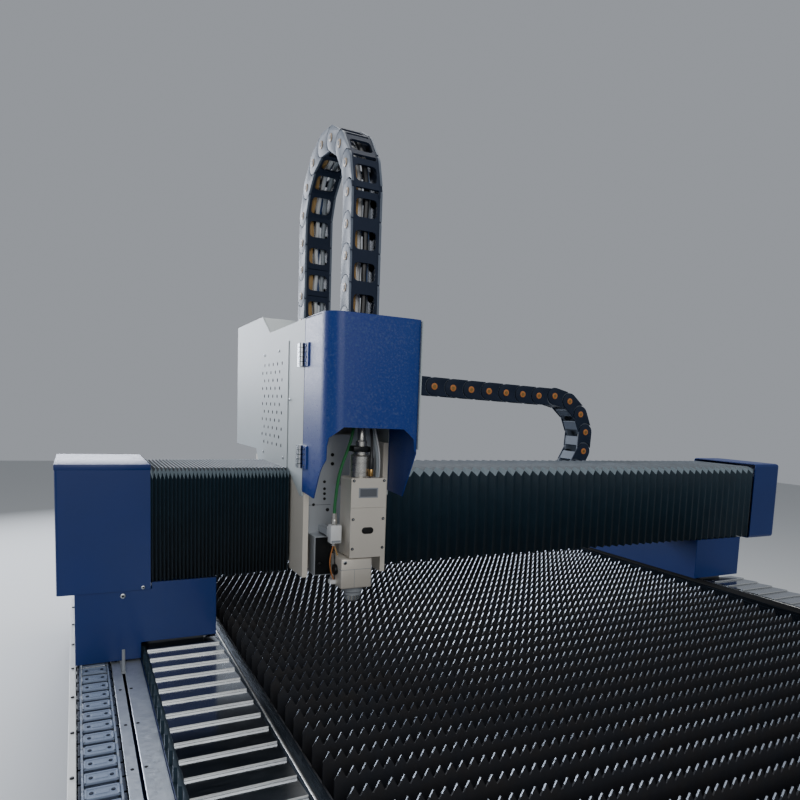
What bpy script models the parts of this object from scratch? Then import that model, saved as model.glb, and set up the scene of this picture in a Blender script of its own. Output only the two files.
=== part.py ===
"""Open-bed fiber laser cutting machine: a welded bed with a sawtooth slat table, a
gantry that runs along the bed on two rails, a carriage that runs along the gantry beam,
and a cutting head that rises and falls behind a hinged cover.

X runs along the gantry, left to right, Y along the bed, front to rear, and Z up. The
origin is on the floor under the middle of the bounding box. Metres.
"""

import math

import bmesh
import bpy
from mathutils import Matrix, Vector

# Clearance between pieces that touch, and sheet thicknesses
GAP = 0.0003
SHEET = 0.003
THIN_SHEET = 0.002

# Bed: lengths along Y, heights above the floor
BED_LENGTH = 4.37
BED_TOP = 0.850
SIDE_BEAM_TOP = 0.775
FOOT_HEIGHT = 0.120
FOOT_RADIUS = 0.045
FEET_PER_SIDE = 4
END_PLATE_THICKNESS = 0.040
DECK_TOP = 0.845

# Bed: widths along X, stacked from the left edge to the table
LIP_WIDTH = 0.012
TROUGH_WIDTH = 0.089
TROUGH_DEPTH = 0.245
SLOT_PLATE_WIDTH = 0.057
SLOT_PLATE_OVERHANG = 0.011
SLOT_WIDTH = 0.005
SLOT_EDGE = 0.0175
BELLOWS_Y_WIDTH = 0.155
BELLOWS_Y_GAP = 0.002
LEDGE_WIDTH = 0.0547
LEDGE_TOP = 0.830
LEDGE_EDGE_WIDTH = 0.008
LEDGE_EDGE_TOP = 0.881
RIGHT_FLANGE = 0.014

# Slat table
SLAT_LENGTH = 1.480
SLAT_TIP = 0.875
SLAT_BOTTOM = 0.775
SLAT_THICKNESS = 0.004
SLAT_COUNT = 29
SLAT_TABLE_LENGTH = 3.052
TOOTH_COUNT = 12
TOOTH_HEIGHT = 0.034
TABLE_FRONT_INSET = 0.220
COMB_THICKNESS = 0.006
COMB_TOP = 0.824
COMB_LIP = 0.748

# Scrap drawer and floor
FLOOR_Z = 0.180
RIB_DEPTH = 0.040
RIB_WIDTH = 0.060
RIB_COUNT = 5
DRAWER_LENGTH = 1.600
DRAWER_INSET = 0.050
DRAWER_WIDTH = SLAT_LENGTH - 2 * DRAWER_INSET
DRAWER_CLEARANCE = 0.012
DRAWER_HEIGHT = 0.200
DRAWER_WALL = 0.006
DRAWER_RECESS = 0.045

# Recessed fields of the end plates
PANEL_DEPTH = 0.008
PANEL_MARGIN = 0.070
PANEL_DROP = 0.380
REAR_PANEL_MARGIN = 0.150
REAR_PANEL_DROP = 0.550

# Guides and racks
RAIL_WIDTH = 0.030
RAIL_HEIGHT = 0.025
RAIL_FROM_BELLOWS = 0.051
RACK_WIDTH = 0.014
RACK_HEIGHT = 0.020
RACK_FROM_BELLOWS = 0.141
PINION_RADIUS = 0.020
PINION_TEETH = 12
PINION_MESH_GAP = 0.0015
PINION_BEHIND_BEAM = 0.400
BLOCK_LENGTH = 0.100

# Gantry: the beam's front plane stands this far behind the bed's front end
GANTRY_SETBACK = 1.400
BEAM_TOP = 1.275
BOX_OVERHANG = 0.021
CAP_OVERHANG = 0.162
END_BOX_WIDTH = 0.176
END_CAP_WIDTH = 0.130
END_DEPTH = 0.270
END_BOX_HEIGHT = 0.268
END_CAP_HEIGHT = 0.260
BEAM_FRONT = 0.055
BEAM_REAR = 0.245
BEAM_DROP = 0.050
BEAM_BOTTOM_DROP = 0.235

# Saddles
SADDLE_DEPTH = 0.610
SADDLE_INSET = 0.020
SADDLE_COVER_DEPTH = 0.650
SADDLE_COVER_FRONT = 0.004
SADDLE_COVER_LEFT_WIDTH = 0.280
SADDLE_COVER_RIGHT_WIDTH = 0.213
SADDLE_COVER_BOTTOM = 0.855
SADDLE_STEP_BOTTOM = 0.890

# Bellows
PLEAT_Y = 0.054
BELLOWS_Y_TOP = 0.885
BELLOWS_Y_VALLEY = 0.874
BELLOWS_Y_WALL = 0.005
BEAM_BELLOWS_TOP = 0.008
BEAM_BELLOWS_BOTTOM = 0.253
BEAM_BELLOWS_CHAMFER = 0.018
BEAM_BELLOWS_FOLD = 0.008
BEAM_BELLOWS_DEPTH = 0.255
PLEATS_LEFT = 30
PLEATS_RIGHT = 50

# Carriage and housing: X from the end box's left face, Y from the beam's front plane
CARRIAGE_LEFT = 0.478
CARRIAGE_WIDTH = 0.200
CARRIAGE_PLATE = 0.024
SIDE_PLATE = 0.012
HOUSING_SEAM = -0.0925
HOUSING_REAR = 0.600
HOUSING_TOP_FRONT = 0.325
HOUSING_TOP_REAR = 0.360
DOOR_FRONT = -0.243
DOOR_ANGLE_POINT = (-0.175, -0.055)
DOOR_LEFT_ROUND = (0.037, 0.037)
DOOR_RIGHT_ROUND = (0.036, 0.006)
DOOR_ROUND_STEPS = 3
WING_BOTTOM = 0.055

# Drag chains
X_CHAIN_PITCH = 0.0656
X_CHAIN_HEIGHT = 0.057
X_CHAIN_WIDTH = 0.080
X_CHAIN_RADIUS = 0.143
X_CHAIN_BEND = (1.480, 0.059)
X_CHAIN_FRONT = 0.335
Y_CHAIN_PITCH = 0.0443
Y_CHAIN_HEIGHT = 0.036
Y_CHAIN_WIDTH = 0.062
Y_CHAIN_RADIUS = 0.095
Z_CHAIN_PITCH = 0.0720
Z_CHAIN_HEIGHT = 0.057
Z_CHAIN_WIDTH = 0.075
Z_CHAIN_LEFT = 0.587
Z_CHAIN_FRONT = -0.050
Z_CHAIN_REAR = 0.297
Z_CHAIN_SPRING = 0.610

# Cutting head, from the end box's left face and the beam's front plane and top
HEAD_X = 0.589
HEAD_Y = -0.160
HEAD_WIDTH = 0.074
HEAD_TOP = -0.012
HEAD_BOTTOM = -0.185
NOZZLE_TIP = -0.291
NOZZLE_X = 0.5735
OPTICS_X = 0.5846
OPTICS_RADIUS = 0.0235
LOWER_BODY = (0.5346, 0.6053)
HOLDER_RADIUS = 0.0225
SCREW_X = 0.538
SCREW_Y = -0.035
SCREW_RADIUS = 0.008

# Places worked out from the sizes above
BED_FRONT = -BED_LENGTH / 2
BED_REAR = BED_LENGTH / 2
BED_BODY_WIDTH = (
    TROUGH_WIDTH - SLOT_PLATE_OVERHANG + SLOT_PLATE_WIDTH + BELLOWS_Y_GAP
    + BELLOWS_Y_WIDTH + LEDGE_WIDTH + GAP + 0.004
)
OVERALL_WIDTH = (
    BOX_OVERHANG + 2 * BED_BODY_WIDTH + SLAT_LENGTH
    - (TROUGH_WIDTH - SLOT_PLATE_OVERHANG + SLOT_PLATE_WIDTH + BELLOWS_Y_GAP)
    + RIGHT_FLANGE + CAP_OVERHANG
)
LEFT = -OVERALL_WIDTH / 2
BED_LEFT = LEFT + BOX_OVERHANG
BED_RIGHT = LEFT + OVERALL_WIDTH - CAP_OVERHANG
GANTRY_Y = BED_FRONT + GANTRY_SETBACK
SLOT_PLATE_LEFT = BED_LEFT + TROUGH_WIDTH - SLOT_PLATE_OVERHANG
BELLOWS_Y_LEFT = SLOT_PLATE_LEFT + SLOT_PLATE_WIDTH + BELLOWS_Y_GAP
BELLOWS_Y_RIGHT = BELLOWS_Y_LEFT + BELLOWS_Y_WIDTH
SLATS_LEFT = BED_LEFT + BED_BODY_WIDTH
SLATS_RIGHT = SLATS_LEFT + SLAT_LENGTH
TABLE_X = (SLATS_LEFT + SLATS_RIGHT) / 2
TABLE_FRONT = BED_FRONT + TABLE_FRONT_INSET
INNER_FRONT = BED_FRONT + END_PLATE_THICKNESS + GAP
INNER_REAR = BED_REAR - END_PLATE_THICKNESS - GAP
RAIL_X = BELLOWS_Y_RIGHT - RAIL_FROM_BELLOWS
RACK_X = BELLOWS_Y_RIGHT - RACK_FROM_BELLOWS
PINION_X = RACK_X + RACK_WIDTH + PINION_MESH_GAP + PINION_RADIUS
CARRIAGE_RIGHT = CARRIAGE_LEFT + CARRIAGE_WIDTH
CARRIAGE_MIDDLE = CARRIAGE_LEFT + CARRIAGE_WIDTH / 2

PARTS = bpy.data.collections.new("fiber_laser_cutting_machine")
GUIDES = bpy.data.collections.new("guides")


def gx(distance):
    """World X of a distance from the end box's left face."""
    return LEFT + distance


def gy(distance):
    """World Y of a distance behind the beam's front plane."""
    return GANTRY_Y + distance


def gz(distance):
    """World Z of a height above the top of the beam's end box."""
    return BEAM_TOP + distance


def span(convert, low, high):
    """A (low, high) pair in world coordinates."""
    return convert(low), convert(high)


def mirrored(x):
    """The same place on the bed's other side."""
    return 2 * TABLE_X - x


def mirrored_span(pair):
    """The same X span on the bed's other side."""
    return mirrored(pair[1]), mirrored(pair[0])


def material(name, colour, roughness, metallic=0.0):
    """A Principled BSDF material."""
    made = bpy.data.materials.new(name)
    made.use_nodes = True
    shader = made.node_tree.nodes["Principled BSDF"]
    shader.inputs["Base Color"].default_value = (*colour, 1.0)
    shader.inputs["Roughness"].default_value = roughness
    shader.inputs["Metallic"].default_value = metallic
    made.diffuse_color = (*colour, 1.0)
    return made


NAVY = material("navy_paint", (0.010, 0.035, 0.120), 0.45)
COVER_BLUE = material("textured_blue_paint", (0.015, 0.060, 0.260), 0.60)
PALE_GREY = material("pale_grey_paint", (0.600, 0.620, 0.630), 0.50)
WHITE = material("white_paint", (0.850, 0.850, 0.840), 0.50)
BLACK_FABRIC = material("black_fabric", (0.012, 0.014, 0.017), 0.80)
BLACK_PLASTIC = material("black_plastic", (0.015, 0.016, 0.020), 0.50)
STEEL = material("machined_steel", (0.500, 0.510, 0.520), 0.35, 1.0)
GALVANISED = material("galvanised_steel", (0.600, 0.620, 0.660), 0.40, 1.0)
DARK_STEEL = material("dark_slat_steel", (0.080, 0.080, 0.085), 0.60, 0.6)
STAINLESS = material("stainless_plates", (0.650, 0.660, 0.670), 0.25, 1.0)
HEAD_SILVER = material("anodised_silver", (0.550, 0.530, 0.490), 0.35, 0.8)
COPPER = material("nozzle_copper", (0.500, 0.280, 0.160), 0.35, 1.0)
GREEN = material("green_cable", (0.020, 0.200, 0.080), 0.50)
TAN = material("tan_cable", (0.450, 0.300, 0.140), 0.60)


def finish(obj, paint):
    """Gives a solid its material and puts it in the parts collection."""
    obj.data.materials.clear()
    obj.data.materials.append(paint)
    for collection in list(obj.users_collection):
        collection.objects.unlink(obj)
    PARTS.objects.link(obj)
    return obj


def guide_object(name, mesh):
    """A loose solid that is still to be joined, cut or finished."""
    obj = bpy.data.objects.new(name, mesh)
    GUIDES.objects.link(obj)
    return obj


def block(x, y, z, name="block"):
    """A block between three (low, high) pairs."""
    size = [high - low for low, high in (x, y, z)]
    centre = [(low + high) / 2 for low, high in (x, y, z)]
    bm = bmesh.new()
    place = Matrix.Translation(centre) @ Matrix.Diagonal((*size, 1.0))
    bmesh.ops.create_cube(bm, size=1.0, matrix=place)
    mesh = bpy.data.meshes.new(name)
    bm.to_mesh(mesh)
    bm.free()
    return guide_object(name, mesh)


def gantry_block(x, y, z):
    """A block in the gantry's distances: from the end box, beam front and beam top."""
    return block(span(gx, *x), span(gy, *y), span(gz, *z))


def rod(centre, length, radius, axis="Z", sides=16, top_radius=None, name="rod"):
    """A round bar about a middle point, along X, Y or Z."""
    turn = {
        "X": Matrix.Rotation(math.pi / 2, 4, "Y"),
        "Y": Matrix.Rotation(-math.pi / 2, 4, "X"),
        "Z": Matrix.Identity(4),
    }[axis]
    bm = bmesh.new()
    bmesh.ops.create_cone(
        bm,
        cap_ends=True,
        segments=sides,
        radius1=radius,
        radius2=radius if top_radius is None else top_radius,
        depth=length,
        matrix=Matrix.Translation(centre) @ turn,
    )
    mesh = bpy.data.meshes.new(name)
    bm.to_mesh(mesh)
    bm.free()
    return guide_object(name, mesh)


def to_mesh(obj):
    """Turns an object with curves or modifiers into a plain mesh in world space."""
    bpy.context.view_layer.update()
    evaluated = obj.evaluated_get(bpy.context.evaluated_depsgraph_get())
    mesh = bpy.data.meshes.new_from_object(evaluated)
    mesh.transform(obj.matrix_world)
    bm = bmesh.new()
    bm.from_mesh(mesh)
    bmesh.ops.remove_doubles(bm, verts=bm.verts, dist=1e-6)
    bm.to_mesh(mesh)
    bm.free()
    made = guide_object(obj.name, mesh)
    bpy.data.objects.remove(obj)
    return made


def outline(points, axis, low, high, name="outline"):
    """A flat outline extruded along an axis.

    The points are (y, z) for axis X, (x, z) for axis Y and (x, y) for axis Z.
    """
    curve = bpy.data.curves.new(name, "CURVE")
    curve.dimensions = "2D"
    curve.fill_mode = "BOTH"
    curve.extrude = (high - low) / 2
    spline = curve.splines.new("POLY")
    spline.points.add(len(points) - 1)
    for point, (u, v) in zip(spline.points, points):
        point.co = (u, v, 0.0, 1.0)
    spline.use_cyclic_u = True
    obj = guide_object(name, curve)
    middle = (low + high) / 2
    columns = {
        "X": (Vector((0, 1, 0)), Vector((0, 0, 1)), Vector((1, 0, 0))),
        "Y": (Vector((1, 0, 0)), Vector((0, 0, 1)), Vector((0, -1, 0))),
        "Z": (Vector((1, 0, 0)), Vector((0, 1, 0)), Vector((0, 0, 1))),
    }[axis]
    place = Matrix(columns).transposed().to_4x4()
    place.translation = Vector([middle if letter == axis else 0.0 for letter in "XYZ"])
    obj.matrix_world = place
    return to_mesh(obj)


def turned(profile, centre, steps=24, name="turned"):
    """A profile of (radius, height) points, top to bottom, turned about Z."""
    mesh = bpy.data.meshes.new(name)
    points = [(radius, 0.0, height) for radius, height in profile]
    edges = [(i, i + 1) for i in range(len(points) - 1)]
    mesh.from_pydata(points, edges, [])
    obj = guide_object(name, mesh)
    obj.location = centre
    screw = obj.modifiers.new("Screw", "SCREW")
    screw.steps = steps
    screw.render_steps = steps
    screw.use_merge_vertices = True
    screw.merge_threshold = 0.00001
    return to_mesh(obj)


def tube(points, radius, name="tube"):
    """A round cable through a list of points, with closed ends."""
    curve = bpy.data.curves.new(name, "CURVE")
    curve.dimensions = "3D"
    curve.bevel_depth = radius
    curve.bevel_resolution = 2
    curve.use_fill_caps = True
    spline = curve.splines.new("POLY")
    spline.points.add(len(points) - 1)
    for point, place in zip(spline.points, points):
        point.co = (*place, 1.0)
    return to_mesh(guide_object(name, curve))


def combine(target, tools, operation):
    """Joins tools to a target, or cuts them out of it, one Boolean at a time."""
    for tool in tools:
        change = target.modifiers.new(operation.title(), "BOOLEAN")
        change.operation = operation
        change.solver = "EXACT"
        change.object = tool
        name = target.name
        target = to_mesh(target)
        target.name = name
        bpy.data.objects.remove(tool)
    return target


def fused(*solids):
    """One solid made of several that overlap."""
    return combine(solids[0], solids[1:], "UNION")


def cut(target, *tools):
    """A solid with others taken out of it."""
    return combine(target, tools, "DIFFERENCE")


def gathered(solids):
    """Several loose solids in one mesh, to be joined to others in one step."""
    bm = bmesh.new()
    for solid in solids:
        bm.from_mesh(solid.data)
        bpy.data.objects.remove(solid)
    mesh = bpy.data.meshes.new("gathered")
    bm.to_mesh(mesh)
    bm.free()
    return guide_object("gathered", mesh)


def named(obj, name, paint, smooth=False):
    """Finishes a solid under its own name."""
    obj.name = name
    obj.data.name = name
    if smooth:
        obj.data.shade_smooth()
        obj.data.set_sharp_from_angle(angle=math.radians(35))
    return finish(obj, paint)


def softened(obj, width, segments=2, angle=60):
    """Rounds an object's sharp edges."""
    bevel = obj.modifiers.new("Bevel", "BEVEL")
    bevel.width = width
    bevel.segments = segments
    bevel.limit_method = "ANGLE"
    bevel.angle_limit = math.radians(angle)
    name = obj.name
    made = to_mesh(obj)
    made.name = name
    return made


def gear(centre, radius, width, teeth, name="gear"):
    """A spur gear's blank with its teeth, turned about Z."""
    root = radius * 0.82
    points = []
    for i in range(teeth):
        for share, reach in ((0.0, root), (0.30, root), (0.45, radius), (0.80, radius)):
            angle = 2 * math.pi * (i + share) / teeth
            points.append((reach * math.cos(angle), reach * math.sin(angle)))
    middle = centre[2]
    made = outline(points, "Z", middle - width / 2, middle + width / 2, name)
    made.data.transform(Matrix.Translation((centre[0], centre[1], 0.0)))
    return made


def swept(rings, name="swept"):
    """A closed body through rings of equal point counts, capped at both ends."""
    bm = bmesh.new()
    rows = [[bm.verts.new(point) for point in ring] for ring in rings]
    count = len(rows[0])
    for near, far in zip(rows, rows[1:]):
        for i in range(count):
            j = (i + 1) % count
            bm.faces.new((near[i], near[j], far[j], far[i]))
    bm.faces.new(rows[0][::-1])
    bm.faces.new(rows[-1])
    bmesh.ops.recalc_face_normals(bm, faces=bm.faces)
    flat = math.radians(0.05)
    bmesh.ops.dissolve_limit(bm, angle_limit=flat, verts=bm.verts, edges=bm.edges)
    mesh = bpy.data.meshes.new(name)
    bm.to_mesh(mesh)
    bm.free()
    return guide_object(name, mesh)


class LoopPath:
    """A chain's centre line: a straight run, a half turn and a second straight run."""

    def __init__(self, start, bend, radius, first, second, turn):
        self.start = Vector(start)
        self.bend = Vector(bend)
        self.radius = radius
        self.first = first
        self.second = second
        self.turn = turn
        self.length = first + math.pi * radius + second

    def at(self, distance):
        """The point and direction at a distance from the start, in the loop's plane."""
        if distance < self.first:
            share = distance / self.first
            entry = self.bend + self.arc(0.0)[0]
            point = self.start.lerp(entry, share)
            return point, (entry - self.start).normalized()
        along = distance - self.first
        if along <= math.pi * self.radius:
            offset, direction = self.arc(along / self.radius)
            return self.bend + offset, direction
        offset, direction = self.arc(math.pi)
        extra = along - math.pi * self.radius
        return self.bend + offset + direction * extra, direction

    def arc(self, angle):
        """The offset from the bend's centre and the direction at an angle of the turn."""
        heading = self.turn[0] + self.turn[1] * angle
        direction = Vector((math.cos(heading), math.sin(heading)))
        outward = Vector((direction.y, -direction.x)) * self.turn[1]
        return outward * self.radius, direction


def chain_rings(path, pitch, height, place):
    """Rings of a drag chain's links, each with a groove before the next."""
    rings = []
    links = max(2, round(path.length / pitch))
    step = path.length / links
    for i in range(links):
        marks = [(0.02, 1.0), (0.86, 1.0)]
        if i < links - 1:
            marks.append((0.94, 0.78))
        for share, depth in marks:
            point, direction = path.at((i + share) * step)
            side = Vector((-direction.y, direction.x)) * height / 2 * depth
            rings.append(place(point, side, depth))
    return rings


def side_beam(x_outer, shelf, name):
    """A welded side girder with its rail seat between two upstands, and its feet."""
    inner = BELLOWS_Y_RIGHT
    seat_left = BELLOWS_Y_LEFT + 0.012
    seat_right = BELLOWS_Y_RIGHT - 0.013
    top = BED_TOP - GAP
    points = [
        (x_outer, FOOT_HEIGHT),
        (inner, FOOT_HEIGHT),
        (inner, top),
        (seat_right, top),
        (seat_right, SIDE_BEAM_TOP),
        (seat_left, SIDE_BEAM_TOP),
        (seat_left, top),
        (BELLOWS_Y_LEFT - 0.001, top),
    ]
    if shelf:
        shelf_top = BED_TOP - SHEET - GAP
        points += [
            (BELLOWS_Y_LEFT - 0.001, shelf_top),
            (BELLOWS_Y_LEFT - 0.013, shelf_top),
            (BELLOWS_Y_LEFT - 0.013, SIDE_BEAM_TOP),
            (x_outer, SIDE_BEAM_TOP),
        ]
    else:
        points += [(x_outer, top)]
    beam = outline(points, "Y", INNER_FRONT, INNER_REAR, name)
    length = INNER_REAR - INNER_FRONT
    bays = 5
    for i in range(bays):
        y = INNER_FRONT + length * (i + 0.5) / bays
        recess = block(
            (x_outer - 0.01, x_outer + 0.008),
            (y - 0.34, y + 0.34),
            (FOOT_HEIGHT + 0.09, SIDE_BEAM_TOP - 0.235),
        )
        beam = cut(beam, recess)
    middle = (x_outer + inner) / 2
    for i in range(FEET_PER_SIDE):
        y = INNER_FRONT + length * (0.06 + 0.88 * i / (FEET_PER_SIDE - 1))
        stem = rod((middle, y, FOOT_HEIGHT / 2 + 0.01), FOOT_HEIGHT, 0.016, sides=10)
        pad = rod((middle, y, 0.0125), 0.025, FOOT_RADIUS, sides=14)
        beam = fused(beam, stem, pad)
    return beam


def build_bed():
    """The fixed bed: girders, end plates, floor, trough, ledges, rails and racks."""
    left_outer = BED_LEFT + TROUGH_WIDTH + GAP
    left = side_beam(left_outer, True, "side_beam_left")
    named(left, "side_beam_left", NAVY)
    right = side_beam(BELLOWS_Y_LEFT - RIGHT_FLANGE, False, "side_beam_right")
    mirror = Matrix.Translation((2 * TABLE_X, 0, 0)) @ Matrix.Diagonal((-1, 1, 1, 1))
    right.data.transform(mirror)
    right.data.flip_normals()
    named(right, "side_beam_right", NAVY)

    width = (BED_LEFT, BED_RIGHT)
    mouth_half = DRAWER_WIDTH / 2 + DRAWER_CLEARANCE
    drawer_x = (TABLE_X - mouth_half, TABLE_X + mouth_half)
    drawer_z = (FLOOR_Z - 0.004, FLOOR_Z + DRAWER_HEIGHT + 0.010)
    front = block(
        width, (BED_FRONT, BED_FRONT + END_PLATE_THICKNESS), (FOOT_HEIGHT, BED_TOP)
    )
    mouth = block(drawer_x, (BED_FRONT - 0.01, INNER_FRONT + 0.01), drawer_z)
    panel_y = (BED_FRONT - 0.01, BED_FRONT + PANEL_DEPTH)
    panel = block(drawer_x, panel_y, (BED_TOP - PANEL_DROP, BED_TOP - PANEL_MARGIN))
    named(cut(front, mouth, panel), "end_plate_front", NAVY)

    rear = block(
        width, (BED_REAR - END_PLATE_THICKNESS, BED_REAR), (FOOT_HEIGHT, BED_TOP)
    )
    deck_front = TABLE_FRONT + SLAT_TABLE_LENGTH + 0.020
    deck_x = (SLATS_LEFT - 0.001, SLATS_RIGHT + 0.001)
    deck = block(
        deck_x, (deck_front, BED_REAR - END_PLATE_THICKNESS / 2), (DECK_TOP - SHEET, DECK_TOP)
    )
    apron = block(deck_x, (deck_front, deck_front + SHEET), (0.50, DECK_TOP - 0.001))
    window_y = (BED_REAR - PANEL_DEPTH, BED_REAR + 0.01)
    window = block(drawer_x, window_y, (BED_TOP - REAR_PANEL_DROP, BED_TOP - REAR_PANEL_MARGIN))
    named(cut(fused(rear, deck, apron), window), "end_plate_rear", NAVY)

    inner_x = (BELLOWS_Y_RIGHT + SHEET + 2 * GAP, mirrored(BELLOWS_Y_RIGHT + SHEET + 2 * GAP))
    floor = block(inner_x, (INNER_FRONT, INNER_REAR), (FLOOR_Z - 0.010, FLOOR_Z - 0.004))
    ribs = []
    rib_run = INNER_REAR - INNER_FRONT - RIB_WIDTH
    for i in range(RIB_COUNT):
        y = INNER_FRONT + rib_run * i / (RIB_COUNT - 1)
        x = (BELLOWS_Y_RIGHT + GAP, mirrored(BELLOWS_Y_RIGHT + GAP))
        depth = (FLOOR_Z - 0.008 - RIB_DEPTH, FLOOR_Z - 0.008)
        ribs.append(block(x, (y, y + RIB_WIDTH), depth))
    named(fused(floor, gathered(ribs)), "scrap_floor", DARK_STEEL)

    build_trough()
    build_ledges()
    build_guides()


def build_trough():
    """The cable trough on the bed's left edge and the slotted plate beside it."""
    outer = BED_LEFT
    inner = BED_LEFT + TROUGH_WIDTH
    floor = BED_TOP - TROUGH_DEPTH
    plate_under = BED_TOP - SHEET - GAP
    points = [
        (outer, floor),
        (inner, floor),
        (inner, plate_under),
        (inner - SHEET, plate_under),
        (inner - SHEET, floor + SHEET),
        (outer + SHEET, floor + SHEET),
        (outer + SHEET, BED_TOP - 0.020),
        (outer + LIP_WIDTH, BED_TOP - 0.020),
        (outer + LIP_WIDTH, BED_TOP),
        (outer, BED_TOP),
    ]
    named(outline(points, "Y", INNER_FRONT, INNER_REAR), "chain_trough", WHITE)

    x = (SLOT_PLATE_LEFT, SLOT_PLATE_LEFT + SLOT_PLATE_WIDTH)
    plate = block(x, (INNER_FRONT, INNER_REAR), (BED_TOP - SHEET, BED_TOP))
    slot = (x[0] + SLOT_EDGE, x[0] + SLOT_EDGE + SLOT_WIDTH)
    opening = block(
        slot, (INNER_FRONT + 0.05, INNER_REAR - 0.05), (BED_TOP - 0.01, BED_TOP + 0.01)
    )
    named(cut(plate, opening), "slot_plate", GALVANISED)


def build_ledges():
    """Bent sheets that close the bed's inner sides and carry the slat table."""
    x0 = BELLOWS_Y_RIGHT + GAP
    x1 = x0 + LEDGE_WIDTH
    points = [
        (x0, 0.700),
        (x0 + SHEET, 0.700),
        (x0 + SHEET, LEDGE_TOP - SHEET),
        (x1 - SHEET, LEDGE_TOP - SHEET),
        (x1 - SHEET, COMB_LIP - SHEET),
        (x1 + 0.032, COMB_LIP - SHEET),
        (x1 + 0.032, COMB_LIP),
        (x1, COMB_LIP),
        (x1, LEDGE_TOP),
        (x0 + LEDGE_EDGE_WIDTH, LEDGE_TOP),
        (x0 + LEDGE_EDGE_WIDTH, LEDGE_EDGE_TOP),
        (x0, LEDGE_EDGE_TOP),
    ]
    rear = TABLE_FRONT + SLAT_TABLE_LENGTH + 0.010
    named(outline(points, "Y", INNER_FRONT, rear), "ledge_left", GALVANISED)
    other = [(mirrored(x), z) for x, z in reversed(points)]
    named(outline(other, "Y", INNER_FRONT, rear), "ledge_right", GALVANISED)


def build_guides():
    """Rails and racks on the side girders."""
    rack_teeth_side = RACK_X + RACK_WIDTH
    rails = (INNER_FRONT + 0.05, INNER_REAR - 0.05)
    seat = SIDE_BEAM_TOP + GAP
    half = RAIL_WIDTH / 2
    waist = half - 0.005
    section = [
        (-half, 0.0),
        (half, 0.0),
        (half, 0.009),
        (waist, 0.013),
        (half - 0.001, 0.018),
        (half - 0.001, RAIL_HEIGHT - GAP),
        (-half + 0.001, RAIL_HEIGHT - GAP),
        (-half + 0.001, 0.018),
        (-waist, 0.013),
        (-half, 0.009),
    ]
    for side, x in (("left", RAIL_X), ("right", mirrored(RAIL_X))):
        points = [(x + u, seat + v) for u, v in section]
        named(outline(points, "Y", *rails), "rail_" + side, STEEL)
    left = (RACK_X, rack_teeth_side)
    for side, x in (("left", left), ("right", mirrored_span(left))):
        rack = block(x, rails, (seat, seat + RACK_HEIGHT))
        named(rack, "rack_" + side, STEEL)


def build_slats():
    """The sawtooth slats and the two combs that hold their ends, as one table."""
    pitch = SLAT_LENGTH / TOOTH_COUNT
    points = [(SLATS_LEFT, SLAT_BOTTOM), (SLATS_RIGHT, SLAT_BOTTOM)]
    valley = SLAT_TIP - TOOTH_HEIGHT
    points.append((SLATS_RIGHT, valley))
    for i in reversed(range(TOOTH_COUNT)):
        x = SLATS_LEFT + i * pitch
        points.append((x + pitch / 2, SLAT_TIP))
        points.append((x, valley))
    step = SLAT_TABLE_LENGTH / (SLAT_COUNT - 1)
    slats = []
    for i in range(SLAT_COUNT):
        y = TABLE_FRONT + i * step
        slats.append(outline(points, "Y", y, y + SLAT_THICKNESS))
    comb_x = (SLATS_LEFT - 0.0037, SLATS_LEFT - 0.0037 + COMB_THICKNESS)
    y = (TABLE_FRONT - 0.02, TABLE_FRONT + SLAT_TABLE_LENGTH + SLAT_THICKNESS)
    z = (COMB_LIP + GAP, COMB_TOP)
    combs = gathered([block(comb_x, y, z), block(mirrored_span(comb_x), y, z)])
    named(fused(combs, gathered(slats)), "slat_table", DARK_STEEL)


def build_drawer():
    """The scrap drawer that slides out of the bed's front end."""
    x = (TABLE_X - DRAWER_WIDTH / 2, TABLE_X + DRAWER_WIDTH / 2)
    front = BED_FRONT + DRAWER_RECESS
    y = (front, front + DRAWER_LENGTH)
    z = (FLOOR_Z, FLOOR_Z + DRAWER_HEIGHT)
    tray = block(x, y, z)
    hollow = block(
        (x[0] + DRAWER_WALL, x[1] - DRAWER_WALL),
        (y[0] + DRAWER_WALL, y[1] - DRAWER_WALL),
        (z[0] + DRAWER_WALL, z[1] + 0.01),
    )
    tray = cut(tray, hollow)
    runners = []
    for side in (-1, 1):
        middle = TABLE_X + side * (DRAWER_WIDTH / 2 - 0.05)
        under = (FLOOR_Z - 0.004 + GAP, FLOOR_Z + 0.002)
        runners.append(block((middle - 0.02, middle + 0.02), (y[0] + 0.02, y[1]), under))
    grips = []
    for offset in (-0.35, 0.35):
        for end in (-0.06, 0.06):
            place = (TABLE_X + offset + end, front - 0.016, FLOOR_Z + 0.12)
            grips.append(rod(place, 0.036, 0.006, "Y", 8))
        place = (TABLE_X + offset, front - 0.030, FLOOR_Z + 0.12)
        grips.append(rod(place, 0.136, 0.007, "X", 8))
    tray = fused(tray, gathered(runners))
    for grip in grips:
        tray = fused(tray, grip)
    named(tray, "scrap_drawer", NAVY)


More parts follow.
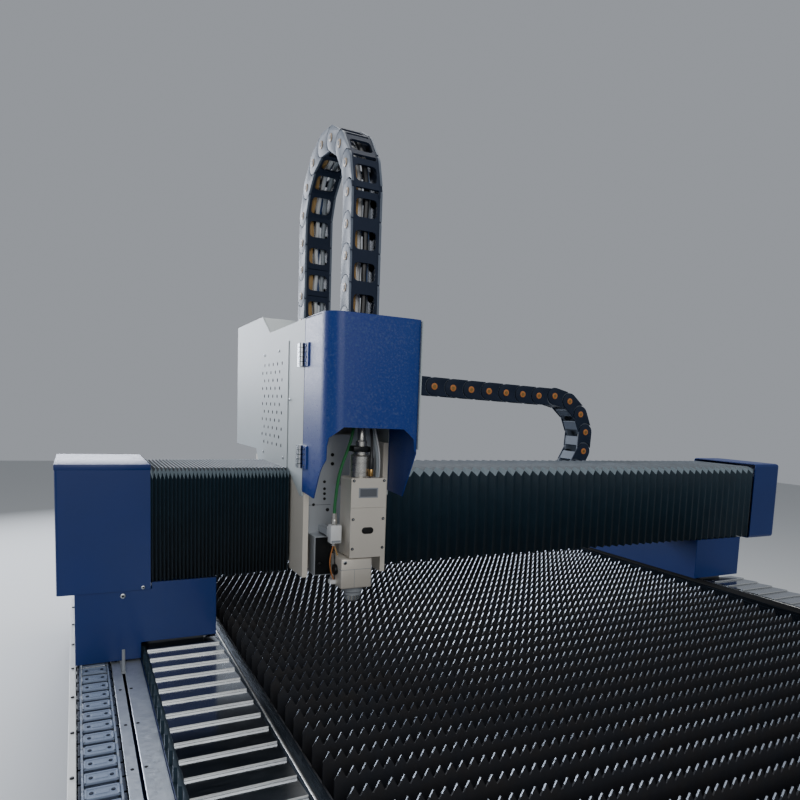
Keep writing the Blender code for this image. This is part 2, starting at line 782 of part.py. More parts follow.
def build_end_boxes():
    """The sheet boxes that close the beam's two ends."""
    y = span(gy, 0.0, END_DEPTH)
    around = (y[0] - 0.01, y[1] + 0.01)
    z = span(gz, -END_BOX_HEIGHT, 0.0)
    longer = block(span(gx, 0.0, END_BOX_WIDTH + 0.02), y, (z[0] - 0.02, z[1]))
    shell = softened(longer, 0.005, 2)
    inside = block(
        span(gx, SHEET, END_BOX_WIDTH + 0.03),
        (y[0] + SHEET, y[1] - SHEET),
        (z[0] - 0.03, z[1] - SHEET),
    )
    past_side = block(span(gx, END_BOX_WIDTH, END_BOX_WIDTH + 0.03), around, (z[0] - 0.03, z[1] + 0.01))
    below = block(span(gx, -0.01, END_BOX_WIDTH + 0.03), around, (z[0] - 0.03, z[0]))
    named(cut(shell, inside, past_side, below), "end_box", NAVY)

    right = OVERALL_WIDTH
    z = span(gz, -END_CAP_HEIGHT, 0.002)
    longer = block(span(gx, right - END_CAP_WIDTH - 0.02, right), y, z)
    shell = softened(longer, 0.009, 2)
    inside = block(
        span(gx, right - END_CAP_WIDTH - 0.03, right - SHEET),
        (y[0] + SHEET, y[1] - SHEET),
        (z[0] + SHEET, z[1] - SHEET),
    )
    past_side = span(gx, right - END_CAP_WIDTH - 0.03, right - END_CAP_WIDTH)
    past_side = block(past_side, around, (z[0] - 0.01, z[1] + 0.01))
    named(cut(shell, inside, past_side), "end_cap", NAVY)


def build_beam():
    """The gantry beam with its rails, rack and cable tray."""
    x = span(gx, SHEET + GAP, OVERALL_WIDTH - SHEET - GAP)
    beam = block(x, span(gy, BEAM_FRONT, BEAM_REAR), span(gz, -BEAM_BOTTOM_DROP, -BEAM_DROP))
    named(beam, "gantry_beam", PALE_GREY)

    run = span(gx, END_BOX_WIDTH + 0.014, OVERALL_WIDTH - END_CAP_WIDTH - 0.012)
    rail_y = span(gy, BEAM_FRONT - 0.020, BEAM_FRONT - GAP)
    named(block(run, rail_y, span(gz, -0.0875, -0.0625)), "x_rail_upper", STEEL)
    named(block(run, rail_y, span(gz, -0.2175, -0.1925)), "x_rail_lower", STEEL)
    rack_z = (gz(-BEAM_DROP) + GAP, gz(-BEAM_DROP) + RACK_HEIGHT)
    named(block(run, span(gy, 0.150, 0.165), rack_z), "x_rack", STEEL)

    tray = [
        (BEAM_REAR + GAP, -0.060),
        (BEAM_REAR + GAP, -0.117),
        (0.430, -0.117),
        (0.430, -0.090),
        (0.427, -0.090),
        (0.427, -0.114),
        (BEAM_REAR + GAP + SHEET, -0.114),
        (BEAM_REAR + GAP + SHEET, -0.060),
    ]
    points = [(gy(u), gz(v)) for u, v in reversed(tray)]
    reach = span(gx, END_BOX_WIDTH + 0.004, OVERALL_WIDTH - END_CAP_WIDTH - 0.007)
    named(outline(points, "X", *reach), "x_chain_tray", GALVANISED)


def saddle(side):
    """A saddle: guide blocks on the rail, a base plate and a riser under the beam."""
    left = side == "left"
    turn = (lambda pair: pair) if left else mirrored_span
    base_x = (BELLOWS_Y_LEFT + 0.016, BELLOWS_Y_RIGHT - 0.017)
    rear = SADDLE_INSET + SADDLE_DEPTH
    base_z = (SIDE_BEAM_TOP + 0.054, SIDE_BEAM_TOP + 0.074)
    solid = block(turn(base_x), span(gy, SADDLE_INSET, rear), base_z)
    block_x = (RAIL_X - 0.030, RAIL_X + 0.030)
    groove_x = (RAIL_X - RAIL_WIDTH / 2 - GAP, RAIL_X + RAIL_WIDTH / 2 + GAP)
    for start in (SADDLE_INSET + 0.035, rear - 0.035 - BLOCK_LENGTH):
        y = span(gy, start, start + BLOCK_LENGTH)
        shoe = block(turn(block_x), y, (SIDE_BEAM_TOP + 0.010, base_z[0] + 0.001))
        groove_y = (y[0] - 0.01, y[1] + 0.01)
        groove_z = (SIDE_BEAM_TOP, SIDE_BEAM_TOP + RAIL_HEIGHT + 2 * GAP)
        solid = fused(solid, cut(shoe, block(turn(groove_x), groove_y, groove_z)))
    riser_x = (base_x[0] + 0.002, base_x[1] - 0.002)
    riser = block(
        turn(riser_x),
        span(gy, BEAM_FRONT + 0.005, BEAM_REAR - 0.010),
        (base_z[1] - 0.001, gz(-BEAM_BOTTOM_DROP) - GAP),
    )
    solid = fused(solid, riser)
    shaft = (turn((PINION_X, PINION_X))[0], gy(PINION_BEHIND_BEAM), base_z[0])
    solid = cut(solid, rod(shaft, 0.08, 0.013, sides=12))
    if left:
        arm_z = (BED_TOP + 0.0008, BED_TOP + 0.0048)
        reach = block((BED_LEFT + 0.015, riser_x[0] + 0.004), span(gy, 0.058, 0.098), arm_z)
        foot_x = (BED_LEFT + 0.015, SLOT_PLATE_LEFT - 0.004)
        foot_z = (BED_TOP - 0.002 + GAP, BED_TOP + 0.003)
        foot = block(foot_x, span(gy, 0.058, 0.098), foot_z)
        slot_x = SLOT_PLATE_LEFT + SLOT_EDGE + SLOT_WIDTH / 2
        bar_x = (slot_x - 0.004, slot_x + 0.004)
        bar = block(bar_x, span(gy, -0.064, 0.060), arm_z)
        pin = rod((slot_x, gy(-0.059), BED_TOP + 0.027), 0.046, 0.0032, sides=10)
        solid = fused(solid, reach, foot, bar, pin)
    return solid


def build_saddles():
    """Both saddles with their sheet covers, gear motors and pinions."""
    named(saddle("left"), "saddle_left", PALE_GREY)
    named(saddle("right"), "saddle_right", PALE_GREY)
    top_low = gz(-END_BOX_HEIGHT) - GAP
    top_high = gz(-BEAM_BELLOWS_BOTTOM) - 2 * GAP
    cover_left = BED_LEFT + 0.011
    left_x = (cover_left, cover_left + SADDLE_COVER_LEFT_WIDTH)
    right_x = (mirrored(BELLOWS_Y_RIGHT + 0.054), 0.0)
    right_x = (right_x[0], right_x[0] + SADDLE_COVER_RIGHT_WIDTH)
    y = span(gy, SADDLE_COVER_FRONT, SADDLE_COVER_DEPTH)
    step = BELLOWS_Y_LEFT - 0.001
    outer = block(left_x, y, (SADDLE_COVER_BOTTOM, top_low))
    raised_x = (gx(END_BOX_WIDTH) + 0.002, left_x[1])
    outer = fused(outer, block(raised_x, y, (SADDLE_STEP_BOTTOM, top_high)))
    over_bellows = block(
        (step, left_x[1] + 0.01), (y[0] - 0.01, y[1] + 0.01), (0.80, SADDLE_STEP_BOTTOM)
    )
    outer = cut(outer, over_bellows)
    inner = block(
        (left_x[0] + SHEET, left_x[1] - SHEET),
        (y[0] + SHEET, y[1] - SHEET),
        (0.80, top_low - SHEET),
    )
    port = block(
        (BELLOWS_Y_LEFT, left_x[1] - 0.012), span(gy, 0.030, 0.250), (0.95, top_high + 0.01)
    )
    named(cut(outer, inner, port), "saddle_cover_left", NAVY)

    outer = block(right_x, y, (SADDLE_STEP_BOTTOM, top_high))
    inner = block(
        (right_x[0] + SHEET, right_x[1] - SHEET),
        (y[0] + SHEET, y[1] - SHEET),
        (0.80, top_high - SHEET),
    )
    port_x = mirrored_span((BELLOWS_Y_LEFT + 0.014, BELLOWS_Y_RIGHT - 0.012))
    port = block(port_x, span(gy, 0.030, 0.250), (0.95, top_high + 0.01))
    named(cut(outer, inner, port), "saddle_cover_right", NAVY)

    plate_top = SIDE_BEAM_TOP + 0.074
    for side, x in (("left", PINION_X), ("right", mirrored(PINION_X))):
        y = gy(PINION_BEHIND_BEAM)
        gearbox = rod((x, y, plate_top + GAP + 0.025), 0.050, 0.030, sides=16)
        body = block((x - 0.033, x + 0.033), (y - 0.033, y + 0.033), (plate_top + 0.049, 0.998))
        named(fused(gearbox, body), "y_motor_" + side, BLACK_PLASTIC)
        wheel_z = SIDE_BEAM_TOP + 0.002
        wheel = gear((x, y, wheel_z + 0.009), PINION_RADIUS, 0.018, PINION_TEETH)
        shaft_z = (wheel_z + 0.017 + plate_top) / 2
        length = plate_top - wheel_z - 0.017
        shaft = rod((x, y, shaft_z), length, 0.009, sides=12)
        named(fused(wheel, shaft), "y_pinion_" + side, STEEL)


def pleated_cover(x, y, name):
    """A bed cover of plates and folds along Y, open underneath."""
    length = y[1] - y[0]
    pleats = max(2, round(length / PLEAT_Y))
    pitch = length / pleats
    points = [(y[0], BED_TOP), (y[1], BED_TOP)]
    for i in reversed(range(pleats)):
        start = y[0] + i * pitch
        points.append((start + pitch * 0.94, BELLOWS_Y_VALLEY))
        points.append((start, BELLOWS_Y_TOP))
    solid = outline(points, "X", x[0], x[1], name)
    hollow = block(
        (x[0] + BELLOWS_Y_WALL, x[1] - BELLOWS_Y_WALL),
        (y[0] - 0.01, y[1] + 0.01),
        (BED_TOP - 0.01, BELLOWS_Y_VALLEY - 0.005),
    )
    return cut(solid, hollow)


def build_bed_bellows():
    """The four plated covers over the rails, before and behind each saddle."""
    left = (BELLOWS_Y_LEFT, BELLOWS_Y_RIGHT - GAP)
    front = (INNER_FRONT, gy(SADDLE_INSET) - GAP)
    rear = (gy(SADDLE_INSET + SADDLE_DEPTH) + GAP, INNER_REAR)
    for side, x in (("left", left), ("right", mirrored_span(left))):
        for end, y in (("front", front), ("rear", rear)):
            name = "bellows_" + side + "_" + end
            named(pleated_cover(x, y, name), name, STAINLESS)


def beam_bellows(x, pleats, name):
    """A folded cover over the beam's front and top, with chamfered fold corners."""
    pitch = (x[1] - x[0]) / pleats
    inner = BEAM_BELLOWS_FOLD + 0.006
    rings = []
    for i in range(2 * pleats + 1):
        fold = BEAM_BELLOWS_FOLD if i % 2 else 0.0
        profile = [
            (fold, -BEAM_BELLOWS_BOTTOM),
            (fold, -BEAM_BELLOWS_TOP - BEAM_BELLOWS_CHAMFER),
            (fold + BEAM_BELLOWS_CHAMFER * 0.8, -BEAM_BELLOWS_TOP - fold),
            (BEAM_BELLOWS_DEPTH, -BEAM_BELLOWS_TOP - fold),
            (BEAM_BELLOWS_DEPTH, -BEAM_BELLOWS_TOP - inner),
            (inner + BEAM_BELLOWS_CHAMFER, -BEAM_BELLOWS_TOP - inner),
            (inner, -BEAM_BELLOWS_TOP - inner - BEAM_BELLOWS_CHAMFER),
            (inner, -BEAM_BELLOWS_BOTTOM),
        ]
        place = gx(x[0] + i * pitch / 2)
        rings.append([(place, gy(u), gz(v)) for u, v in profile])
    return named(swept(rings, name), name, BLACK_FABRIC)


def build_carriage():
    """The carriage: plates, guide blocks, drives and the bearings of the Z screw."""
    x = span(gx, CARRIAGE_LEFT + GAP, CARRIAGE_RIGHT - GAP)
    half = CARRIAGE_PLATE / 2
    solid = block(x, span(gy, -half, half), span(gz, -0.245, 0.092))
    for side in (x[0], x[1] - SIDE_PLATE):
        wing = block((side, side + SIDE_PLATE), span(gy, -0.095, -half + 0.001), span(gz, -0.245, 0.060))
        solid = fused(solid, wing)
    solid = fused(solid, block(x, span(gy, half - 0.001, 0.360), span(gz, -0.018, -0.002)))
    for rail in (-0.075, -0.205):
        for start in (CARRIAGE_LEFT + 0.012, CARRIAGE_RIGHT - 0.072):
            shoe_x = span(gx, start, start + 0.060)
            shoe_y = span(gy, half - 0.001, BEAM_FRONT - 0.003)
            shoe = block(shoe_x, shoe_y, span(gz, rail - 0.028, rail + 0.028))
            groove_x = (shoe_x[0] - 0.01, shoe_x[1] + 0.01)
            groove_y = span(gy, BEAM_FRONT - 0.020 - GAP, BEAM_FRONT)
            groove_z = span(gz, rail - 0.0125 - GAP, rail + 0.0125 + GAP)
            solid = fused(solid, cut(shoe, block(groove_x, groove_y, groove_z)))
    for start in (0.504, 0.640):
        rail = gantry_block((start, start + 0.014), (-0.030, -half + 0.001), (-0.190, 0.090))
        solid = fused(solid, rail)
    for low in (-0.190, 0.078):
        bearing_x = (SCREW_X - 0.018, SCREW_X + 0.018)
        bearing = gantry_block(bearing_x, (-0.0495, -half + 0.001), (low, low + 0.020))
        solid = fused(solid, bearing)
    solid = fused(solid, gantry_block((0.513, 0.563), (-half, half), (0.091, 0.200)))
    screw_hole = rod((gx(SCREW_X), gy(SCREW_Y), gz(-0.045)), 0.34, SCREW_RADIUS + GAP, sides=16)
    pinion_y = 0.165 + PINION_MESH_GAP + PINION_RADIUS
    shaft_hole = rod((gx(CARRIAGE_MIDDLE), gy(pinion_y), gz(-0.01)), 0.06, 0.013, sides=12)
    named(cut(solid, screw_hole, shaft_hole), "carriage_plate", PALE_GREY)

    motor_x = gx(CARRIAGE_MIDDLE)
    motor_y = gy(pinion_y)
    gearbox = rod((motor_x, motor_y, gz(-0.002 + GAP + 0.020)), 0.040, 0.032, sides=16)
    body = block(
        (motor_x - 0.035, motor_x + 0.035), (motor_y - 0.035, motor_y + 0.035), span(gz, 0.037, 0.170)
    )
    named(fused(gearbox, body), "x_motor", BLACK_PLASTIC)
    wheel = gear((motor_x, motor_y, gz(-0.039)), PINION_RADIUS, 0.016, PINION_TEETH)
    shaft = rod((motor_x, motor_y, gz(-0.017)), 0.030, 0.009, sides=12)
    named(fused(wheel, shaft), "x_pinion", STEEL)

    screw = rod((gx(SCREW_X), gy(SCREW_Y), gz(-0.0295)), 0.319, SCREW_RADIUS, sides=16)
    named(screw, "z_screw", STEEL, smooth=True)
    motor_x = (SCREW_X - 0.025, SCREW_X + 0.025)
    motor_y = (SCREW_Y - 0.025, -half - GAP)
    named(gantry_block(motor_x, motor_y, (0.1303, 0.230)), "z_motor", BLACK_PLASTIC)


def housing_points():
    """The side panel's outline, front top corner first, as (y, z)."""
    return [
        (HOUSING_SEAM, HOUSING_TOP_FRONT),
        (0.211, HOUSING_TOP_FRONT - 0.008),
        (0.294, HOUSING_TOP_REAR + 0.004),
        (HOUSING_REAR, HOUSING_TOP_REAR),
        (HOUSING_REAR, 0.012),
        (0.345, 0.014),
        (0.322, -0.019),
        (0.010, -0.019),
        (-0.073, -0.062),
        (HOUSING_SEAM, -0.062),
    ]


def build_housing():
    """The sheet housing over the carriage: two side panels and a bent top and back."""
    points = [(gy(u), gz(v)) for u, v in reversed(housing_points())]
    left_x = span(gx, CARRIAGE_LEFT - SHEET, CARRIAGE_LEFT)
    named(outline(points, "X", *left_x), "housing_left", PALE_GREY)
    right_x = span(gx, CARRIAGE_RIGHT, CARRIAGE_RIGHT + SHEET)
    panel = outline(points, "X", *right_x)
    wing_x = (right_x[1] + GAP, right_x[1] + GAP + SHEET)
    wing_z = span(gz, WING_BOTTOM, HOUSING_TOP_FRONT)
    wing = block(wing_x, span(gy, DOOR_FRONT, HOUSING_SEAM + 0.030), wing_z)
    tab_x = (right_x[1] - 0.001, wing_x[1])
    tab = block(tab_x, span(gy, HOUSING_SEAM + 0.002, HOUSING_SEAM + 0.030), wing_z)
    named(fused(panel, wing, tab), "housing_right", PALE_GREY)

    rim = [
        (0.030, HOUSING_TOP_FRONT - 0.004),
        (0.212, HOUSING_TOP_FRONT - 0.009),
        (0.294, HOUSING_TOP_REAR + 0.003),
        (HOUSING_REAR - 0.001, HOUSING_TOP_REAR - 0.001),
        (HOUSING_REAR - 0.001, 0.016),
        (HOUSING_REAR - 0.001 - THIN_SHEET, 0.016),
        (HOUSING_REAR - 0.001 - THIN_SHEET, HOUSING_TOP_REAR - 0.001 - THIN_SHEET),
        (0.2945, HOUSING_TOP_REAR + 0.003 - THIN_SHEET),
        (0.2125, HOUSING_TOP_FRONT - 0.009 - THIN_SHEET),
        (0.030, HOUSING_TOP_FRONT - 0.004 - THIN_SHEET),
    ]
    points = [(gy(u), gz(v)) for u, v in reversed(rim)]
    x = span(gx, CARRIAGE_LEFT + GAP, CARRIAGE_RIGHT - GAP)
    named(outline(points, "X", *x), "housing_top", PALE_GREY)


def corner_tool(x_side, inward, rounding, depth):
    """A tall tool that rounds one upright corner of the front cover."""
    across, along = rounding
    middle = Vector((x_side + inward * across, gy(DOOR_FRONT) + along))
    points = [
        (x_side - inward * 0.01, middle.y),
        (x_side - inward * 0.01, gy(DOOR_FRONT) - 0.01),
        (middle.x, gy(DOOR_FRONT) - 0.01),
    ]
    for i in range(DOOR_ROUND_STEPS + 1):
        angle = math.pi / 2 * (1 - i / DOOR_ROUND_STEPS)
        u = middle.x - inward * (across - depth) * math.cos(angle)
        points.append((u, middle.y - (along - depth) * math.sin(angle)))
    if inward < 0:
        points.reverse()
    return outline(points, "Z", gz(-0.15), gz(HOUSING_TOP_REAR + 0.05))


def build_door():
    """The hinged front cover with its arch, and its two hinges."""
    rear = HOUSING_SEAM - GAP
    low_y, low_z = DOOR_ANGLE_POINT
    side = [
        (rear, HOUSING_TOP_FRONT),
        (rear, -0.050),
        (low_y, low_z),
        (DOOR_FRONT - 0.006, 0.065),
        (DOOR_FRONT, HOUSING_TOP_FRONT + 0.003),
    ]
    x = span(gx, CARRIAGE_LEFT - SHEET, CARRIAGE_RIGHT + SHEET)
    shell = outline([(gy(u), gz(v)) for u, v in side], "X", *x)
    inside = [
        (rear + 0.02, HOUSING_TOP_FRONT - THIN_SHEET),
        (rear + 0.02, -0.10),
        (low_y, -0.10),
        (DOOR_FRONT - 0.006 + THIN_SHEET, 0.020),
        (DOOR_FRONT + THIN_SHEET, HOUSING_TOP_FRONT + 0.003 - THIN_SHEET),
    ]
    inner_x = (x[0] + THIN_SHEET, x[1] - THIN_SHEET)
    hollow = outline([(gy(u), gz(v)) for u, v in inside], "X", *inner_x)
    for x_side, inward, rounding in ((x[0], 1, DOOR_LEFT_ROUND), (x[1], -1, DOOR_RIGHT_ROUND)):
        shell = cut(shell, corner_tool(x_side, inward, rounding, 0.0))
        hollow = cut(hollow, corner_tool(x_side, inward, rounding, THIN_SHEET))
    shell = cut(shell, hollow)
    arch = [
        (x[0] + 0.007, gz(0.055)),
        (x[0] + 0.010, gz(0.076)),
        (x[0] + 0.040, gz(0.101)),
        (x[1] - 0.040, gz(0.101)),
        (x[1] - 0.010, gz(0.076)),
        (x[1] - 0.007, gz(0.055)),
        (x[1] - 0.007, gz(-0.10)),
        (x[0] + 0.007, gz(-0.10)),
    ]
    shell = cut(shell, outline(arch, "Y", gy(DOOR_FRONT - 0.02), gy(DOOR_FRONT + 0.03)))
    for low, high in ((0.222, 0.272), (0.002, 0.052)):
        leaf = block((x[0] - 0.0035, x[0] + 0.001), span(gy, -0.128, -0.1005), span(gz, low, high))
        shell = fused(shell, leaf)
    named(shell, "front_cover", COVER_BLUE)

    hinge_x = x[0] - 0.0070
    for name, low, high in (("hinge_upper", 0.222, 0.272), ("hinge_lower", 0.002, 0.052)):
        middle = (low + high) / 2
        barrel = rod((hinge_x, gy(HOUSING_SEAM), gz(middle)), high - low, 0.006, sides=12)
        leaf = block((hinge_x, x[0] - GAP), span(gy, HOUSING_SEAM + 0.002, -0.062), span(gz, low, high))
        named(fused(barrel, leaf), name, BLACK_PLASTIC)


def build_slide():
    """The Z slide: a plate on the carriage's rails, with the nut and the head's arm."""
    plate = gantry_block((0.498, 0.658), (-0.062, -0.050), (-0.165, 0.075))
    for start in (0.502, 0.638):
        for low in (-0.150, 0.000):
            shoe = gantry_block((start, start + 0.018), (-0.051, -0.0303), (low, low + 0.055))
            plate = fused(plate, shoe)
    nut_x = (SCREW_X - 0.015, SCREW_X + 0.015)
    plate = fused(plate, gantry_block(nut_x, (-0.051, -0.018), (-0.075, -0.035)))
    thread = rod((gx(SCREW_X), gy(SCREW_Y), gz(-0.055)), 0.10, SCREW_RADIUS + GAP, sides=16)
    plate = cut(plate, thread)
    arm_y = (HEAD_Y + HEAD_WIDTH / 2 + GAP, -0.061)
    arm = gantry_block((HEAD_X - 0.024, HEAD_X + 0.024), arm_y, (-0.150, -0.040))
    bracket = gantry_block((0.524, 0.540), (-0.1247, -0.061), (-0.146, -0.132))
    guard = gantry_block((0.500, 0.545), (-0.112, -0.061), (-0.164, -0.150))
    drop = gantry_block((0.500, 0.545), (-0.112, -0.072), (-0.238, -0.155))
    post = gantry_block((0.604, 0.644), (-0.060, -0.052), (0.060, 0.200))
    top = gantry_block((0.590, 0.658), (-0.058, 0.004), (0.1915, 0.1995))
    named(fused(plate, arm, bracket, guard, drop, post, top), "z_slide", STEEL)


def build_head():
    """The cutting head: body, front plate, collimator, lower body, holder and nozzle."""
    x = gx(HEAD_X)
    y = gy(HEAD_Y)
    half = HEAD_WIDTH / 2
    width = (x - half, x + half)
    body = block(width, (y - half, y + half), span(gz, HEAD_BOTTOM, HEAD_TOP))
    named(softened(body, 0.004, 2), "head_body", HEAD_SILVER)
    plate_y = (y - half - 0.005, y - half - GAP)
    plate_z = span(gz, HEAD_BOTTOM + 0.002, HEAD_TOP + 0.002)
    plate = block((x - half - 0.003, x + half + 0.003), plate_y, plate_z)
    window_y = (plate_y[0] - 0.01, plate_y[0] + 0.002)
    window = block((x - 0.018, x + 0.018), window_y, span(gz, -0.050, -0.026))
    named(cut(plate, window), "head_front_plate", HEAD_SILVER)

    top = HEAD_TOP + GAP
    profile = [
        (0.0, 0.107),
        (0.011, 0.107),
        (0.011, 0.085),
        (0.016, 0.080),
        (0.016, 0.062),
        (OPTICS_RADIUS, 0.055),
        (OPTICS_RADIUS, 0.0),
        (0.0, 0.0),
    ]
    place = (gx(OPTICS_X), y, gz(top))
    named(turned(profile, place, 20), "collimator", HEAD_SILVER, smooth=True)

    low = HEAD_BOTTOM - GAP
    lower_x = span(gx, *LOWER_BODY)
    lower = block(lower_x, (y - half + 0.004, y + half), span(gz, low - 0.068, low))
    lower = softened(lower, 0.006, 2)
    port = rod((lower_x[0] - 0.002, y, gz(low - 0.030)), 0.016, 0.012, "X", 12)
    named(fused(lower, port), "head_lower", HEAD_SILVER)

    base = low - 0.068 - GAP
    profile = [
        (0.0, 0.0),
        (HOLDER_RADIUS, 0.0),
        (HOLDER_RADIUS, -0.012),
        (0.0175, -0.020),
        (0.0, -0.020),
    ]
    place = (gx(NOZZLE_X), y, gz(base))
    named(turned(profile, place, 20), "nozzle_holder", BLACK_PLASTIC, smooth=True)
    tip = NOZZLE_TIP - base + 0.020 + GAP
    profile = [
        (0.0015, 0.0),
        (0.0160, 0.0),
        (0.0160, tip * 0.55),
        (0.004, tip),
        (0.0015, tip),
        (0.0015, 0.0),
    ]
    place = (gx(NOZZLE_X), y, gz(base - 0.020 - GAP))
    named(turned(profile, place, 20), "nozzle", COPPER, smooth=True)

    box_x = span(gx, 0.519, 0.546)
    box = block(box_x, span(gy, -0.165, -0.125), span(gz, -0.159, -0.117))
    route = [
        (gx(0.5325), gy(-0.145), gz(-0.121)),
        (gx(0.5325), gy(-0.145), gz(-0.100)),
        (gx(0.5330), gy(-0.146), gz(-0.070)),
        (gx(0.5360), gy(-0.146), gz(-0.040)),
        (gx(0.5400), gy(-0.146), gz(-0.005)),
        (gx(0.5420), gy(-0.144), gz(0.030)),
    ]
    named(fused(box, tube(route, 0.004)), "sensor_box", PALE_GREY)


def build_chains():
    """The three drag chains and the cable in the standing one."""
    bend = Vector(X_CHAIN_BEND)
    first_start = Vector((CARRIAGE_RIGHT + SHEET + GAP, 0.2205))
    first = (bend + Vector((0.0, X_CHAIN_RADIUS)) - first_start).length
    path = LoopPath(first_start, bend, X_CHAIN_RADIUS, first, 0.480, (0.0, -1.0))

    def x_place(point, side, depth):
        inset = X_CHAIN_WIDTH * (1 - depth) / 4
        near = gy(X_CHAIN_FRONT + inset)
        far = gy(X_CHAIN_FRONT + X_CHAIN_WIDTH - inset)
        low = point - side
        high = point + side
        return [
            (gx(low.x), near, gz(low.y)),
            (gx(high.x), near, gz(high.y)),
            (gx(high.x), far, gz(high.y)),
            (gx(low.x), far, gz(low.y)),
        ]

    rings = chain_rings(path, X_CHAIN_PITCH, X_CHAIN_HEIGHT, x_place)
    named(swept(rings), "x_chain", BLACK_PLASTIC)

    top = BED_TOP - 0.002 - Y_CHAIN_HEIGHT / 2
    start = Vector((gy(0.100), top))
    bend = Vector((gy(-0.710), top - Y_CHAIN_RADIUS))
    first = start.x - bend.x
    path = LoopPath(start, bend, Y_CHAIN_RADIUS, first, 1.000, (math.pi, 1.0))
    chain_x = BED_LEFT + LIP_WIDTH + 0.002

    def y_place(point, side, depth):
        inset = Y_CHAIN_WIDTH * (1 - depth) / 6
        near = chain_x + inset
        far = chain_x + Y_CHAIN_WIDTH - inset
        low = point - side
        high = point + side
        return [
            (near, low.x, low.y),
            (near, high.x, high.y),
            (far, high.x, high.y),
            (far, low.x, low.y),
        ]

    rings = chain_rings(path, Y_CHAIN_PITCH, Y_CHAIN_HEIGHT, y_place)
    named(swept(rings), "y_chain", BLACK_PLASTIC)
    build_standing_chain()


def build_standing_chain():
    """The tall chain over the carriage: two side plates joined by crossbars."""
    half = Z_CHAIN_HEIGHT / 2
    front = gy(Z_CHAIN_FRONT) + half
    rear = gy(Z_CHAIN_REAR) + half
    radius = (rear - front) / 2
    low = gz(HOUSING_TOP_REAR + 0.0045)
    spring = gz(Z_CHAIN_SPRING)
    foot = gz(0.200)
    start = Vector((rear, low))
    bend = Vector(((front + rear) / 2, spring))
    path = LoopPath(start, bend, radius, spring - low, spring - foot, (math.pi / 2, 1.0))
    links = round(path.length / Z_CHAIN_PITCH)
    step = path.length / links
    left = gx(Z_CHAIN_LEFT)
    plate = 0.009
    strips = []
    for x in ((left, left + plate), (left + Z_CHAIN_WIDTH - plate, left + Z_CHAIN_WIDTH)):
        rings = []
        for i in range(links + 1):
            point, direction = path.at(i * step)
            side = Vector((-direction.y, direction.x)) * half
            inner = point + side
            outer = point - side
            rings.append(
                [
                    (x[0], inner.x, inner.y),
                    (x[1], inner.x, inner.y),
                    (x[1], outer.x, outer.y),
                    (x[0], outer.x, outer.y),
                ]
            )
        strips.append(swept(rings))
    bars = []
    for i in range(links):
        point, direction = path.at((i + 0.5) * step)
        normal = Vector((-direction.y, direction.x))
        for offset in (-half + 0.004, half - 0.004):
            centre = point + normal * offset
            bar_x = (left + plate / 2, left + Z_CHAIN_WIDTH - plate / 2)
            bar = block(bar_x, (-0.0165, 0.0165), (-0.0025, 0.0025))
            turn = Matrix.Rotation(math.atan2(direction.y, direction.x), 4, "X")
            bar.data.transform(Matrix.Translation((0, centre.x, centre.y)) @ turn)
            bars.append(bar)
    named(fused(gathered(strips), gathered(bars)), "z_chain", BLACK_PLASTIC)

    middle = left + Z_CHAIN_WIDTH / 2 - 0.008
    route = []
    steps = 26
    for i in range(steps + 1):
        point, _ = path.at(path.length * i / steps)
        route.append((middle, point.x, point.y))
    route[0] = (middle, rear, low)
    plate_hole_z = gz(0.200) + GAP
    route[-1] = (middle, front, plate_hole_z)
    named(tube(route, 0.011), "fibre_cable", TAN)


def carry(name, place, pieces):
    """Parents pieces to an empty on their joint's axis."""
    frame = bpy.data.objects.new(name, None)
    frame.location = place
    PARTS.objects.link(frame)
    bpy.context.view_layer.update()
    for piece in pieces:
        obj = bpy.data.objects[piece]
        obj.parent = frame
        obj.matrix_parent_inverse = frame.matrix_world.inverted()


def build_frames():
    """Empties on the joints' axes, each carrying its pieces."""
    hinge_x = gx(CARRIAGE_LEFT - SHEET) - 0.0070
    pinion_y = 0.165 + PINION_MESH_GAP + PINION_RADIUS
    carry("gantry_frame", (0, GANTRY_Y, BEAM_TOP), [
        "gantry_beam", "end_box", "end_cap", "saddle_left", "saddle_right",
        "saddle_cover_left", "saddle_cover_right", "y_motor_left", "y_motor_right",
        "x_rail_upper", "x_rail_lower", "x_rack", "x_chain_tray",
    ])
    carry("carriage_frame", (gx(CARRIAGE_MIDDLE), GANTRY_Y, BEAM_TOP), [
        "carriage_plate", "housing_left", "housing_right", "housing_top", "x_motor",
        "z_motor", "hinge_upper", "hinge_lower",
    ])
    carry("slide_frame", (gx(HEAD_X), gy(HEAD_Y), gz(NOZZLE_TIP)), [
        "z_slide", "head_body", "head_front_plate", "collimator", "head_lower",
        "nozzle_holder", "nozzle", "sensor_box",
    ])
    carry("cover_frame", (hinge_x, gy(HOUSING_SEAM), gz(0.0)), ["front_cover"])
    carry("drawer_frame", (TABLE_X, BED_FRONT, FLOOR_Z), ["scrap_drawer"])
    carry("left_pinion_frame", (PINION_X, gy(PINION_BEHIND_BEAM), SIDE_BEAM_TOP), ["y_pinion_left"])
    right = (mirrored(PINION_X), gy(PINION_BEHIND_BEAM), SIDE_BEAM_TOP)
    carry("right_pinion_frame", right, ["y_pinion_right"])
    carry("x_pinion_frame", (gx(CARRIAGE_MIDDLE), gy(pinion_y), BEAM_TOP), ["x_pinion"])
    carry("z_screw_frame", (gx(SCREW_X), gy(SCREW_Y), BEAM_TOP), ["z_screw"])


